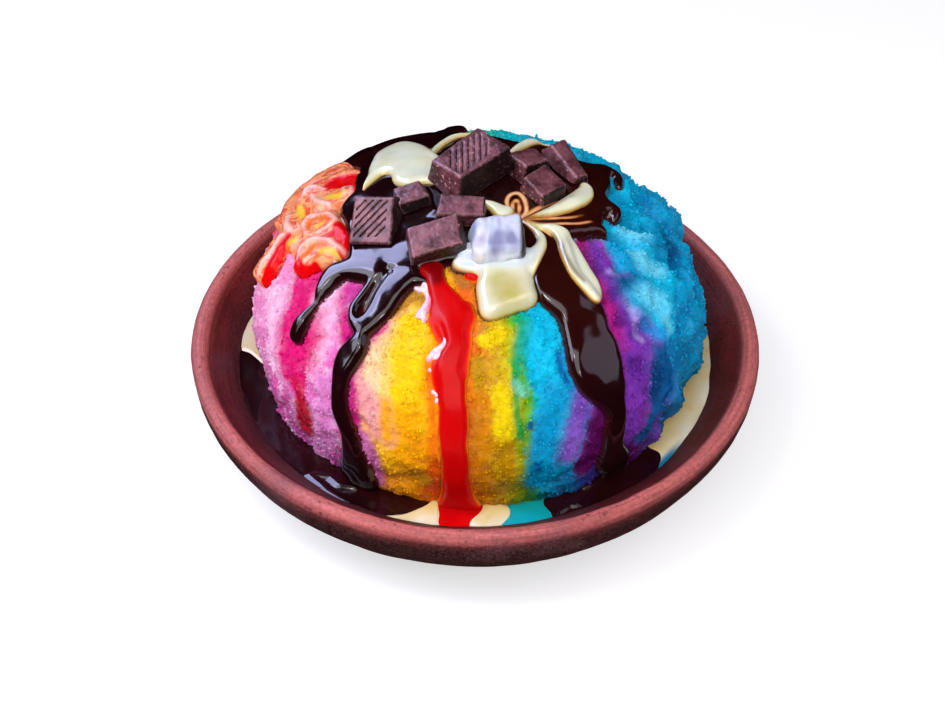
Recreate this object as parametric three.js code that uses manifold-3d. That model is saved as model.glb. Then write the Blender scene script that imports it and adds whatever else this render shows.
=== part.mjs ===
// A mound of shaved ice in a clay dish, with chocolate sauce, condensed milk and red syrup
// run over it and broken chocolate on top. Millimetres, +Z up, origin under the dish's foot.
//
// Places on the ice are given as [turn, reach]: turn is the compass angle in degrees round the
// mound, 0 at the front (-Y) and 90 at the right (+X), and reach is how far down from the top
// of the mound the place lies, measured along its surface.

import * as THREE from 'three';
import Module from 'manifold-3d';
import { mergeVertices } from 'three/addons/utils/BufferGeometryUtils.js';
import { ConvexGeometry } from 'three/addons/geometries/ConvexGeometry.js';

const wasm = await Module();
wasm.setup();

// ---- driving dimensions ----

const gap = 0.3; // left between touching pieces

const dish = {
  rimRadius: 85.5,
  lipInnerRadius: 79.9,
  lipHeight: 35.2, // where the walls end and the rounded lip starts
  footRadius: 50,
  floorRadius: 30,
  floorHeight: 7,
  sides: 48,
  wallSteps: 7,
  lipSteps: 5,
};

const ice = {
  centre: [1.35, 1.0],
  radius: 68.1,
  widestHeight: 48,
  crownRise: 39, // from the widest height to the top
  skirtDrop: 80, // height of the ellipse that the sides below follow
  crownPower: 2 / 2.1, // just fuller than an ellipse
  rowStep: 4.8,
  columns: 56,
  footHeight: 23.2, // the sides end here, and the ice follows the dish below
  capSink: 1.6, // how far the ice has melted down under the sauce on top
};

const lump = { spacing: 12.5, depth: 1.2, coarseDepth: 2.4, coarseFrom: 48, coarseTo: 150 };

// Shallow runnels down the sides: [turn, depth, half width in degrees]
const runnels = [
  [-100, 1.0, 7], [-74, 0.9, 6], [-50, 1.2, 5], [-38, 1.4, 5], [-7, 1.6, 7], [12, 0.9, 5],
  [35, 1.5, 6], [66, 0.9, 6], [98, 1.2, 7], [130, 1.0, 7], [163, 1.3, 7], [196, 1.1, 7],
  [228, 1.2, 7],
];

const sauceLevel = 28;
const poolFloor = 23.6;
const sauceThickness = 2.2;
const milkThickness = 3.6; // lies partly on the chocolate sauce
const syrupThickness = 1.8;
const sauceBed = 0.45; // height of a sauce's underside above the ice

const degrees = Math.PI / 180;
const seeded = (n) => {
  const value = Math.sin(n * 12.9898 + 4.1414) * 43758.5453;
  return value - Math.floor(value);
};

// ---- solids ----

// Joins the shared vertices of a closed geometry and drops the faces that collapse at a pole.
function weld(geometry) {
  geometry.deleteAttribute('normal');
  geometry.deleteAttribute('uv');
  const merged = mergeVertices(geometry, 1e-4);
  const corners = merged.index.array;
  const kept = [];
  for (let i = 0; i < corners.length; i += 3) {
    const [a, b, c] = [corners[i], corners[i + 1], corners[i + 2]];
    if (a !== b && b !== c && c !== a) kept.push(a, b, c);
  }
  merged.setIndex(kept);
  return merged;
}

function toSolid(geometry) {
  const welded = weld(geometry);
  return new wasm.Manifold(new wasm.Mesh({
    numProp: 3,
    vertProperties: Float32Array.from(welded.attributes.position.array),
    triVerts: Uint32Array.from(welded.index.array),
  }));
}

function toGeometry(solid) {
  const mesh = solid.getMesh();
  const geometry = new THREE.BufferGeometry();
  geometry.setAttribute('position', new THREE.BufferAttribute(mesh.vertProperties, 3));
  geometry.setIndex(new THREE.BufferAttribute(mesh.triVerts, 1));
  geometry.computeVertexNormals();
  return geometry;
}

const joined = (solids) => solids.reduce((whole, solid) => whole.add(solid));
const cutBy = (solid, cutters) => cutters.reduce((rest, cutter) => rest.subtract(cutter), solid);

// ---- the dish ----

// Half of the dish's section, from the middle of its floor over the lip to the middle of its
// foot. A clearance moves the inner wall in, which makes the cutter for what fills the dish.
function dishSection(clearance = 0) {
  const inner = new THREE.CubicBezierCurve(
    new THREE.Vector2(dish.floorRadius, dish.floorHeight + clearance),
    new THREE.Vector2(50 - clearance / 2, 7.5 + clearance),
    new THREE.Vector2(66 - clearance, 24 + clearance / 2),
    new THREE.Vector2(dish.lipInnerRadius - clearance, dish.lipHeight),
  );
  const outer = new THREE.CubicBezierCurve(
    new THREE.Vector2(dish.rimRadius, dish.lipHeight),
    new THREE.Vector2(dish.rimRadius, 19.3),
    new THREE.Vector2(66, 7.3),
    new THREE.Vector2(dish.footRadius, 0),
  );
  const points = [new THREE.Vector2(0, dish.floorHeight + clearance), ...inner.getPoints(dish.wallSteps)];
  const lipRadius = (dish.rimRadius - dish.lipInnerRadius + clearance) / 2;
  const lipMiddle = dish.rimRadius - lipRadius;
  for (let step = 1; step < dish.lipSteps; step++) {
    const angle = Math.PI * (1 - step / dish.lipSteps);
    points.push(new THREE.Vector2(
      lipMiddle + lipRadius * Math.cos(angle),
      dish.lipHeight + lipRadius * Math.sin(angle),
    ));
  }
  points.push(...outer.getPoints(dish.wallSteps), new THREE.Vector2(0, 0));
  return points;
}

function dishGeometry(clearance = 0) {
  const geometry = new THREE.LatheGeometry(dishSection(clearance).reverse(), dish.sides);
  return geometry.rotateX(Math.PI / 2);
}

// ---- the surface of the ice ----

// The mound's profile as a table of reach, radius and height, worked out in small steps.
const profile = [];
for (let step = 0, reach = 0; step <= 1200; step++) {
  const tilt = (step / 1200) * 112 * degrees;
  const side = Math.sin(tilt);
  const rise = Math.cos(tilt);
  const radius = ice.radius * (rise > 0 ? side ** ice.crownPower : side);
  const height = ice.widestHeight
    + (rise > 0 ? ice.crownRise * rise ** ice.crownPower : ice.skirtDrop * rise);
  const last = profile.at(-1);
  if (last) reach += Math.hypot(radius - last.radius, height - last.height);
  profile.push({ reach, radius, height });
}

function profileAt(reach) {
  let low = 0;
  let high = profile.length - 1;
  while (high - low > 1) {
    const middle = (low + high) >> 1;
    if (profile[middle].reach > reach) high = middle; else low = middle;
  }
  const [a, b] = [profile[low], profile[high]];
  const along = (reach - a.reach) / (b.reach - a.reach);
  const length = b.reach - a.reach;
  return {
    radius: THREE.MathUtils.lerp(a.radius, b.radius, along),
    height: THREE.MathUtils.lerp(a.height, b.height, along),
    outward: (a.height - b.height) / length,
    upward: (b.radius - a.radius) / length,
  };
}

const reachAtHeight = (height) => profile.find((row) => row.height <= height).reach;

// How far the ice lies below the mound's plain profile: the runnels, and the melt on top.
function hollowDepth(turn, reach) {
  const fade = THREE.MathUtils.smoothstep(reach, 34, 66);
  let depth = 0;
  for (const [at, most, halfWidth] of runnels) {
    const away = ((turn - at + 540) % 360) - 180;
    depth += most * Math.exp(-((away / halfWidth) ** 2));
  }
  return depth * fade + ice.capSink * (1 - THREE.MathUtils.smoothstep(reach, 45, 60));
}

// A point on the mound, lifted square off its surface.
function onIce(turn, reach, lift) {
  const { radius, height, outward, upward } = profileAt(reach);
  const proud = lift - hollowDepth(turn, reach);
  const across = radius + outward * proud;
  return new THREE.Vector3(
    ice.centre[0] + across * Math.sin(turn * degrees),
    ice.centre[1] - across * Math.cos(turn * degrees),
    height + upward * proud,
  );
}

// Middles of the soft lumps that the scooped ice breaks into, in uneven rings.
const lumps = [];
for (let ring = 0, reach = 4; reach < 112; ring++, reach += lump.spacing * 0.87) {
  const count = Math.max(1, Math.round((2 * Math.PI * profileAt(reach).radius) / lump.spacing));
  for (let i = 0; i < count; i++) {
    const seed = ring * 97 + i;
    const turn = (360 * (i + 0.5 * (ring % 2) + 0.5 * seeded(seed))) / count;
    lumps.push(onIce(turn, Math.min(reach + 5 * (seeded(seed + 0.5) - 0.5), 111), 0));
  }
}

function lumpDepth(place, turn) {
  const nearest = Math.min(...lumps.map((middle) => middle.distanceTo(place)));
  const coarse = turn > lump.coarseFrom && turn < lump.coarseTo;
  const most = coarse ? lump.coarseDepth : lump.depth;
  return most * Math.min(1, nearest / (lump.spacing * 0.72)) ** 2;
}

// Six times the volume inside a closed set of faces, negative if they are inside out.
function signedVolume(points, index) {
  let sum = 0;
  for (let i = 0; i < index.length; i += 3) {
    const [a, b, c] = index.slice(i, i + 3).map((corner) => points[corner]);
    sum += a.dot(b.clone().cross(c));
  }
  return sum;
}

// A closed skin through rings of points, with a pole at each end.
function ringedGeometry(top, rings, bottom) {
  const columns = rings[0].length;
  const points = [top, ...rings.flat(), bottom];
  const index = [];
  const corner = (row, column) => 1 + row * columns + (column % columns);
  for (let column = 0; column < columns; column++) {
    index.push(0, corner(0, column), corner(0, column + 1));
    for (let row = 0; row < rings.length - 1; row++) {
      const [a, b] = [corner(row, column), corner(row, column + 1)];
      const [c, d] = [corner(row + 1, column), corner(row + 1, column + 1)];
      index.push(a, c, b, b, c, d);
    }
    const last = rings.length - 1;
    index.push(corner(last, column), points.length - 1, corner(last, column + 1));
  }
  if (signedVolume(points, index) < 0) index.reverse();
  const geometry = new THREE.BufferGeometry();
  geometry.setAttribute('position', new THREE.Float32BufferAttribute(points.flatMap((p) => p.toArray()), 3));
  geometry.setIndex(index);
  return geometry;
}

// The mound down to its foot, lifted off its own surface. With lumps it is the ice itself,
// carried on down the inside of the dish; without, it is the bed that sauces are cut to.
function moundGeometry(lift, withLumps, coarser = 1) {
  const footReach = reachAtHeight(ice.footHeight);
  const rowCount = Math.round(footReach / ice.rowStep / coarser);
  const columns = ice.columns / coarser;
  const turns = Array.from({ length: columns }, (_, i) => (360 * i) / columns - 180);
  const rings = [];
  for (let row = 1; row <= rowCount; row++) {
    const reach = (footReach * row) / rowCount;
    rings.push(turns.map((turn) => {
      const base = onIce(turn, reach, lift);
      return withLumps ? onIce(turn, reach, lift - lumpDepth(base, turn)) : base;
    }));
  }
  const bottom = new THREE.Vector3(ice.centre[0], ice.centre[1], 0);
  if (withLumps) {
    const wall = dishSection(2 * gap).slice(0, dish.wallSteps + 1).reverse();
    const clearOfFoot = wall.filter((point) => point.y < ice.footHeight - 2 && point.x > 0);
    for (const point of clearOfFoot) {
      rings.push(turns.map((turn) => new THREE.Vector3(
        point.x * Math.sin(turn * degrees),
        -point.x * Math.cos(turn * degrees),
        point.y,
      )));
    }
    bottom.set(0, 0, dish.floorHeight + 2 * gap);
  } else {
    rings.push(rings.at(-1).map((point) => new THREE.Vector3(point.x, point.y, 0)));
  }
  return ringedGeometry(onIce(0, 0, lift), rings, bottom);
}

// ---- sauces: drawn on the unrolled mound, given a thickness and laid back onto it ----

const sauceRoot = -1.6; // how far a sauce is made to reach into the ice before it is cut
const sauceStep = 8; // along its edges

const unrolled = (turn, reach) => new THREE.Vector2(
  reach * Math.sin(turn * degrees),
  -reach * Math.cos(turn * degrees),
);

function laidBack(flat, lift) {
  return onIce(Math.atan2(flat.x, -flat.y) / degrees, flat.length(), lift);
}

// Across a run: [part of the half width, part of the thickness], from one foot to the other.
const runSection = [[1, 0], [1, 0.5], [0.56, 1], [-0.56, 1], [-1, 0.5], [-1, 0]];

// A run of sauce with round ends. Its points are [turn, reach, width].
function runSolid(points, thickness, grow = 0) {
  const line = new THREE.CatmullRomCurve3(points.map(([turn, reach, width]) => {
    const flat = unrolled(turn, reach);
    return new THREE.Vector3(flat.x, flat.y, width);
  }), false, 'centripetal');
  const length = line.getLength();
  const steps = Math.ceil(length / sauceStep);
  const ends = [0.12, 0.5]; // parts of the end's radius at which the rounding is drawn
  const stations = [];
  for (let step = 0; step <= steps; step++) stations.push([step / steps, 1]);
  const firstRadius = points[0][2] / 2;
  const lastRadius = points.at(-1)[2] / 2;
  const rounded = (part) => Math.sqrt(1 - (1 - part) ** 2);
  stations[0] = [0, rounded(ends[0])];
  stations.splice(1, 0, [(firstRadius * ends[1]) / length, rounded(ends[1])]);
  stations[stations.length - 1] = [1, rounded(ends[0])];
  stations.splice(-1, 0, [1 - (lastRadius * ends[1]) / length, rounded(ends[1])]);

  const rings = stations.map(([along, fullness]) => {
    const place = line.getPointAt(along);
    const ahead = line.getTangentAt(along);
    const flat = new THREE.Vector2(place.x, place.y);
    const spread = flat.length() / profileAt(flat.length()).radius; // unrolling widens things
    const outward = flat.clone().normalize();
    const round = new THREE.Vector2(-outward.y, outward.x);
    const forward = new THREE.Vector2(ahead.x, ahead.y);
    const heading = new THREE.Vector2(forward.dot(round) / spread, forward.dot(outward)).normalize();
    return runSection.map(([side, rise]) => {
      const aside = side * ((place.z / 2) * fullness + grow);
      const lift = rise === 0 ? sauceRoot : rise * thickness + grow;
      const edge = flat.clone()
        .addScaledVector(round, -heading.y * aside * spread)
        .addScaledVector(outward, heading.x * aside);
      return laidBack(edge, lift);
    });
  });
  const endPole = (place) => laidBack(new THREE.Vector2(place.x, place.y), thickness * 0.4);
  return toSolid(ringedGeometry(endPole(line.getPointAt(0)), rings, endPole(line.getPointAt(1))));
}

// A pool of sauce lying on the mound, inside a smooth outline through a few places.
const patchRings = [[0.3, 1], [0.6, 1], [0.92, 1], [1, 0.5], [1, 0]];
function patchSolid(points, thickness, grow = 0) {
  const flats = points.map(([turn, reach]) => unrolled(turn, reach));
  const middle = flats.reduce((sum, flat) => sum.add(flat), new THREE.Vector2()).divideScalar(flats.length);
  const line = new THREE.CatmullRomCurve3(
    flats.map((flat) => new THREE.Vector3(flat.x, flat.y, 0)), true, 'centripetal');
  const edge = line.getSpacedPoints(Math.ceil(line.getLength() / sauceStep)).slice(0, -1);
  const rings = patchRings.map(([part, rise]) => edge.map((place) => {
    const away = new THREE.Vector2(place.x, place.y).sub(middle);
    away.setLength(away.length() * part + (part === 1 ? grow : 0));
    const lift = rise === 0 ? sauceRoot : rise * thickness + grow;
    return laidBack(away.add(middle), lift);
  }));
  const pole = (lift) => laidBack(middle, lift);
  return toSolid(ringedGeometry(pole(thickness + grow), rings, pole(sauceRoot)));
}

// ---- chocolate pieces ----

// The grooves between the ribs on a piece's upper face, kept inside a plain border.
function ribbedField(piece) {
  const [width, depth, height] = piece.size;
  const [pitch, groove, cut, border] = [1.7, 0.75, 0.5, 1.5];
  const grooves = Array.from({ length: piece.ribs }, (_, rib) => {
    const bar = new THREE.BoxGeometry(width + depth, groove, 2 * cut);
    bar.translate(0, (rib - (piece.ribs - 1) / 2) * pitch, height / 2);
    return toSolid(bar.rotateZ(piece.ribTurn * degrees));
  });
  const inside = new THREE.BoxGeometry(
    width * piece.narrowing - 2 * border,
    depth * piece.narrowing - 2 * border,
    height * 2,
  );
  return joined(grooves).intersect(toSolid(inside));
}

// A broken piece of a bar: a block that narrows to its upper face, with blunted edges, its
// corners knocked about a little, and often ribs moulded in the upper face.
function chunkSolid(piece, grow = 0) {
  const [width, depth, height] = piece.size;
  const blunt = 0.5;
  const corners = [];
  for (let n = 0; n < 8; n++) {
    const side = new THREE.Vector3(n & 1 ? 1 : -1, n & 2 ? 1 : -1, n & 4 ? 1 : -1);
    const narrow = side.z > 0 ? piece.narrowing : 1;
    const knock = (axis) => piece.wear * (seeded(piece.seed + n * 3 + axis) - 0.5);
    const half = new THREE.Vector3(
      (width / 2) * narrow + knock(0) + grow,
      (depth / 2) * narrow + knock(1) + grow,
      height / 2 + knock(2) * 0.6 + grow,
    );
    for (const axis of ['x', 'y', 'z']) {
      const corner = half.clone().subScalar(blunt);
      corner[axis] += blunt;
      corners.push(corner.multiply(side));
    }
  }
  let solid = toSolid(new ConvexGeometry(corners));
  if (piece.ribs && !grow) solid = solid.subtract(ribbedField(piece));
  const towards = new THREE.Vector3(
    Math.sin(piece.leanTo * degrees),
    -Math.cos(piece.leanTo * degrees),
    0,
  );
  const hinge = new THREE.Vector3(0, 0, 1).cross(towards);
  const turned = new THREE.Matrix4()
    .makeTranslation(...piece.middle)
    .multiply(new THREE.Matrix4().makeRotationAxis(hinge, piece.lean * degrees))
    .multiply(new THREE.Matrix4().makeRotationZ(piece.spin * degrees));
  return solid.transform(turned.elements);
}

const chunkDefaults = { narrowing: 0.87, wear: 1.2, ribs: 0, ribTurn: 0, lean: 0, leanTo: 0 };
const chunks = {
  chocolate_chunk_top: {
    size: [21.5, 14.5, 8.8], middle: [-1.6, 10, 92.8], spin: 43, lean: 7, leanTo: -20,
    ribs: 7, ribTurn: 47, seed: 1,
  },
  chocolate_chunk_left: {
    size: [15.4, 17.4, 15], narrowing: 0.8, middle: [-27.2, -5, 82], spin: -11, lean: 38, leanTo: -30,
    ribs: 7, ribTurn: 48, seed: 2,
  },
  chocolate_chunk_behind_left: {
    size: [10, 7.4, 6.5], middle: [-18.2, -0.2, 88], spin: 18, lean: 12, leanTo: -40, seed: 3,
  },
  chocolate_chunk_middle: {
    size: [14.5, 8.5, 6.5], middle: [-3.8, -7.5, 89.2], spin: -6, lean: 14, leanTo: 0, seed: 4,
  },
  chocolate_chunk_front: {
    size: [17, 11, 8], middle: [-10.7, -18.6, 87.6], spin: 12, lean: 24, leanTo: -10, seed: 5,
  },
  chocolate_chunk_under_milk: {
    size: [13.5, 11, 8.5], middle: [6.3, -19.7, 88.2], spin: 6, lean: 12, leanTo: 10, seed: 6,
  },
  chocolate_chunk_right: {
    size: [10.4, 10.4, 7], middle: [19.4, 4.1, 88.4], spin: 42, lean: 14, leanTo: 40, seed: 7,
  },
  chocolate_chunk_slab: {
    size: [16, 6.5, 5.4], middle: [26.6, 18.4, 86.2], spin: -55, lean: 20, leanTo: 60, seed: 8,
  },
  chocolate_chunk_back_right: {
    size: [11, 9, 8], middle: [15.4, 14, 88.2], spin: 35, lean: 10, leanTo: 150, seed: 9,
  },
};

// Milk lies over the top, the left and the front of one piece, as a coat set off to that side.
const drapeShift = [-0.9, -0.9, 0.9];

// ---- the sauces' places ----

const chocolateCap = [
  [-64, 46], [-76, 43], [-92, 41], [-108, 42], [-122, 47], [-136, 52], [-150, 49], [-166, 52],
  [178, 47], [164, 49], [152, 43], [140, 44], [131, 53], [125, 61], [119, 54], [113, 44],
  [105, 41], [99, 46], [92, 39], [84, 36], [77, 39], [69, 31], [60, 28], [40, 24], [16, 25],
  [-6, 24], [-26, 27], [-40, 33], [-52, 40],
];
const chocolateRuns = [
  [[-46, 30, 9], [-53, 36, 9], [-63, 42, 8], [-64, 49, 7], [-61, 55, 3.4], [-60, 61, 4.6],
    [-60, 66, 5.6], [-58, 70, 4.6]],
  [[-50, 38, 6], [-51, 45, 5], [-48, 50, 5], [-43, 55, 7]],
  [[-42, 32, 7], [-41, 40, 6.5], [-38, 47, 8], [-39, 54, 9], [-39, 59, 4.4], [-39, 64, 4.2],
    [-39, 70, 7], [-38, 77, 6.4], [-37, 85, 6], [-36, 94, 6.4], [-35, 103, 8], [-35, 108, 9]],
  [[62, 20, 14], [51, 30, 15], [43, 39, 13], [38, 48, 12], [36, 56, 14], [36, 63, 14],
    [36, 70, 11], [37, 76, 7.4], [36, 84, 6.8], [35, 93, 7], [34, 102, 9], [34, 108, 10]],
  [[-150, 44, 12], [-153, 56, 8], [-156, 66, 6], [-155, 78, 7], [-156, 86, 5]],
  [[168, 44, 12], [170, 56, 9], [171, 68, 7], [170, 80, 8], [171, 92, 7], [171, 102, 8],
    [171, 108, 9]],
];

const milkLeft = [
  [-125, 43], [-132, 49], [-140, 49], [-147, 44], [-151, 34], [-151, 24], [-136, 14], [-118, 15],
  [-115, 24], [-121, 30], [-127, 35], [-119, 37], [-111, 39], [-114, 43],
];
const milkBack = [[-149, 28, 3], [-158, 36, 4], [-168, 44, 6], [179, 47, 6], [168, 42, 4]];
const milkBackRight = [[166, 27, 4], [163, 38, 5.5], [158, 46, 7], [152, 49, 6], [150, 43, 4]];
const milkTongue = [[62, 13, 4], [84, 19, 5], [94, 27, 6.5], [105, 33, 6], [114, 37, 4]];
const milkRunRight = [
  [62, 13, 4], [67, 20, 5], [61, 27, 8], [55, 34, 10], [50, 41, 8], [47, 47, 4],
];
const milkRunFront = [
  [50, 13, 5], [41, 20, 7], [30, 25, 11], [18, 30, 15], [12, 36, 17], [9.5, 45, 17],
];
const milkSpot = [[95, 1, 4], [80, 6, 5], [62, 12, 5]];
const milkHub = [[40, 10.5, 6.4], [76, 15.5, 6.4]]; // where the arms of the swirl meet

const syrupLine = [
  [-30, 25, 5], [-23, 28, 7], [-16, 34, 8], [-10, 42, 9], [-8, 50, 7.6], [-8, 59, 7],
  [-7, 66, 7.5], [-8, 73, 7], [-7, 82, 8], [-6, 93, 8], [-6, 103, 10], [-6, 108, 11],
];
const syrupPatch = [
  [-124, 48], [-126, 58], [-120, 66], [-107, 64], [-96, 64], [-88, 70], [-82, 75], [-78, 68],
  [-71, 62], [-69, 56], [-72, 49], [-78, 45], [-92, 43], [-108, 44],
];

// ---- pools round the foot of the ice: name, colour, first turn, last turn ----

const chocolateColour = 0x2a0b0a;
const milkColour = 0xf1ead0;
const syrupColour = 0xd80a0a;
const pools = [
  ['milk_pool_left', milkColour, -128, -88],
  ['chocolate_pool_left', chocolateColour, -88, -21],
  ['milk_pool_front_left', milkColour, -21, -7.5],
  ['syrup_pool_front', syrupColour, -7.5, 1],
  ['milk_pool_front_right', milkColour, 1, 8],
  ['melt_pool_front_right', 0x12a6c4, 8, 19],
  ['chocolate_pool_right', chocolateColour, 19, 58],
  ['milk_pool_right', milkColour, 58, 140],
  ['chocolate_pool_back', chocolateColour, 140, 186],
  ['milk_pool_back', milkColour, 186, 232],
];

// A ring of the dish's trough between two turns, before the dish and the ice are cut away.
function poolBlank(from, to) {
  const outline = new THREE.Shape();
  const margin = 0.12; // half the gap between neighbours, in degrees
  const reachOut = 76;
  outline.moveTo(0, 0);
  const steps = Math.ceil((to - from) / 15);
  for (let step = 0; step <= steps; step++) {
    const turn = (from + margin + ((to - from - 2 * margin) * step) / steps) * degrees;
    outline.lineTo(reachOut * Math.sin(turn), -reachOut * Math.cos(turn));
  }
  const blank = new THREE.ExtrudeGeometry(outline, {
    depth: sauceLevel - poolFloor,
    bevelEnabled: false,
  });
  return toSolid(blank.translate(0, 0, poolFloor));
}

// ---- putting it together ----

const dessert = new THREE.Group();
function addPiece(name, geometry, color, roughness) {
  const mesh = new THREE.Mesh(geometry, new THREE.MeshStandardMaterial({ color, roughness, metalness: 0 }));
  mesh.name = name;
  dessert.add(mesh);
}

addPiece('bowl', toGeometry(toSolid(dishGeometry())), 0x94504a, 0.75);
addPiece('shaved_ice', toGeometry(toSolid(moundGeometry(0, true))), 0x35b4d2, 0.5);

const bed = toSolid(moundGeometry(sauceBed, false));
const aboveSauce = toSolid(moundGeometry(sauceThickness + gap, false, 2));
const poolRoom = toSolid(new THREE.CylinderGeometry(90, 90, sauceLevel + gap, 12)
  .rotateX(Math.PI / 2).translate(0, 0, (sauceLevel + gap) / 2));

const chunkSolids = {};
const chunkRooms = [];
for (const [name, values] of Object.entries(chunks)) {
  const piece = { ...chunkDefaults, ...values };
  chunkSolids[name] = cutBy(chunkSolid(piece), [aboveSauce, ...chunkRooms]);
  chunkRooms.push(chunkSolid(piece, gap));
  addPiece(name, toGeometry(chunkSolids[name]), 0x4a2226, 0.45);
}

function chocolateParts(grow) {
  return [patchSolid(chocolateCap, sauceThickness, grow),
    ...chocolateRuns.map((run) => runSolid(run, sauceThickness, grow))];
}
const chocolateRooms = chocolateParts(gap);
addPiece('chocolate_sauce', toGeometry(cutBy(joined(chocolateParts(0)), [bed, poolRoom])), chocolateColour, 0.15);

const drape = { ...chunkDefaults, ...chunks.chocolate_chunk_under_milk };
const milkDrape = chunkSolid({ ...drape, middle: drape.middle.map((at, axis) => at + drapeShift[axis]) }, 1);
const milkRuns = (runs) => (grow) => runs.map((run) => runSolid(run, milkThickness, grow));
const milkParts = {
  condensed_milk_left: (grow) => [patchSolid(milkLeft, milkThickness, grow)],
  condensed_milk_back: milkRuns([milkBack]),
  condensed_milk_back_right: milkRuns([milkBackRight]),
  condensed_milk_swirl: milkRuns([milkHub, milkTongue, milkRunRight, milkRunFront, milkSpot]),
};
const milkRooms = [];
for (const [name, parts] of Object.entries(milkParts)) {
  const blank = name === 'condensed_milk_swirl' ? parts(0).concat(milkDrape) : parts(0);
  const cut = cutBy(joined(blank), [bed, ...milkRooms, ...chocolateRooms, ...chunkRooms]);
  milkRooms.push(...parts(gap));
  addPiece(name, toGeometry(cut), milkColour, 0.3);
}

const syrupRooms = [bed, poolRoom, ...milkRooms, ...chocolateRooms];
const syrupRun = cutBy(runSolid(syrupLine, syrupThickness), syrupRooms);
const syrupSwirl = cutBy(patchSolid(syrupPatch, syrupThickness), syrupRooms);
addPiece('red_syrup_run', toGeometry(syrupRun), syrupColour, 0.15);
addPiece('red_syrup_swirl', toGeometry(syrupSwirl), 0xe8401c, 0.2);

const dishRoom = toSolid(dishGeometry(gap));
const iceRoom = toSolid(moundGeometry(gap, true));
for (const [name, colour, from, to] of pools) {
  addPiece(name, toGeometry(cutBy(poolBlank(from, to), [dishRoom, iceRoom])), colour, 0.15);
}

export default dessert;
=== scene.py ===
# Shaved ice in a clay dish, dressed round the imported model. Metres, +Z up, front towards -Y.
import bpy
import math
import random
import numpy as np
from mathutils import Matrix, Vector
from mathutils.bvhtree import BVHTree


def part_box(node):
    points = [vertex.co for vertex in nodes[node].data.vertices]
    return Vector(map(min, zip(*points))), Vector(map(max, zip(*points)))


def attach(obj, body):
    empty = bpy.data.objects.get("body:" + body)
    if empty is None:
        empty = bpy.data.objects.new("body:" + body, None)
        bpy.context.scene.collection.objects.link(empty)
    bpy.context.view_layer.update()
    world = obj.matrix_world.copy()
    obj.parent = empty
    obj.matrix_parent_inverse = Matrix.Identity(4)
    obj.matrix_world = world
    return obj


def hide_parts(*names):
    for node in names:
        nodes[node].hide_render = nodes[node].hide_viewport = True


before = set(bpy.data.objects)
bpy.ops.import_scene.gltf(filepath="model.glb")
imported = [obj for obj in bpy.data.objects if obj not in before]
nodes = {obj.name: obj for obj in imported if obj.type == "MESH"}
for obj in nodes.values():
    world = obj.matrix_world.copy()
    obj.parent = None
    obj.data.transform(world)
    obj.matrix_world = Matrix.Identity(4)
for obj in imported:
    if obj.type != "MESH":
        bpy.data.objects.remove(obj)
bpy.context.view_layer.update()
mm = 0.001
iceMiddle = Vector((1.35, 1.0, 0)) * mm
random.seed(11)
dice = np.random.default_rng(11)


def deselectAll():
    if bpy.context.object and bpy.context.object.mode != "OBJECT":
        bpy.ops.object.mode_set(mode="OBJECT")
    bpy.ops.object.select_all(action="DESELECT")


def pick(piece):
    deselectAll()
    piece.select_set(True)
    bpy.context.view_layer.objects.active = piece


def modify(piece, kind, **values):
    # adds a modifier, sets it and applies it at once
    pick(piece)
    modifier = piece.modifiers.new(kind.title(), kind)
    for name, value in values.items():
        setattr(modifier, name, value)
    bpy.ops.object.modifier_apply(modifier=modifier.name)


def noiseField(name, kind, size, **values):
    texture = bpy.data.textures.new(name, kind)
    texture.noise_scale = size * mm
    for key, value in values.items():
        setattr(texture, key, value)
    return texture


def roughen(piece, field, strength, level=0.5, group=""):
    modify(piece, "DISPLACE", texture=field, strength=strength * mm, mid_level=level,
           texture_coords="LOCAL", vertex_group=group)


def linkPiece(name, mesh):
    piece = bpy.data.objects.new(name, mesh)
    bpy.context.scene.collection.objects.link(piece)
    return piece


def newPiece(name, vertices, faces):
    mesh = bpy.data.meshes.new(name)
    mesh.from_pydata(vertices, [], faces)
    return linkPiece(name, mesh)


def cleanMesh(piece, weld=0.0, dropLoose=False):
    # turns the faces outward, after welding points this many millimetres apart
    pick(piece)
    bpy.ops.object.mode_set(mode="EDIT")
    bpy.ops.mesh.select_all(action="SELECT")
    if dropLoose:
        bpy.ops.mesh.delete_loose()
        bpy.ops.mesh.select_all(action="SELECT")
    if weld:
        bpy.ops.mesh.remove_doubles(threshold=weld * mm)
    bpy.ops.mesh.normals_make_consistent(inside=False)
    bpy.ops.object.mode_set(mode="OBJECT")


def copyNode(nodeName, pieceName):
    # a welded copy of a CAD node, which itself is left alone
    piece = linkPiece(pieceName, nodes[nodeName].data.copy())
    piece.data.materials.clear()
    cleanMesh(piece, weld=0.02)
    return piece


def drawSection(name, corners, smooth):
    # a line through corners in metres: each has its place, the handle before it and the handle after it,
    # as radius and height
    deselectAll()
    bpy.ops.curve.primitive_bezier_curve_add()
    section = bpy.context.object
    section.name = name
    section.data.dimensions = "3D"
    section.data.resolution_u = smooth
    spline = section.data.splines[0]
    spline.bezier_points.add(len(corners) - 2)
    for point, (at, before, after) in zip(spline.bezier_points, corners):
        point.handle_left_type = point.handle_right_type = "FREE"
        point.co = (at[0], 0, at[1])
        point.handle_left = (before[0], 0, before[1])
        point.handle_right = (after[0], 0, after[1])
    section.location = (0, 0, 0)
    pick(section)
    bpy.ops.object.convert(target="MESH")
    return section


def spinSection(section, turns):
    # the section carried once round the Z axis and welded shut
    pick(section)
    bpy.ops.object.mode_set(mode="EDIT")
    bpy.ops.mesh.select_all(action="SELECT")
    bpy.ops.mesh.spin(steps=turns, angle=2 * math.pi, center=(0, 0, 0), axis=(0, 0, 1))
    bpy.ops.object.mode_set(mode="OBJECT")
    cleanMesh(section, weld=0.01)


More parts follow.
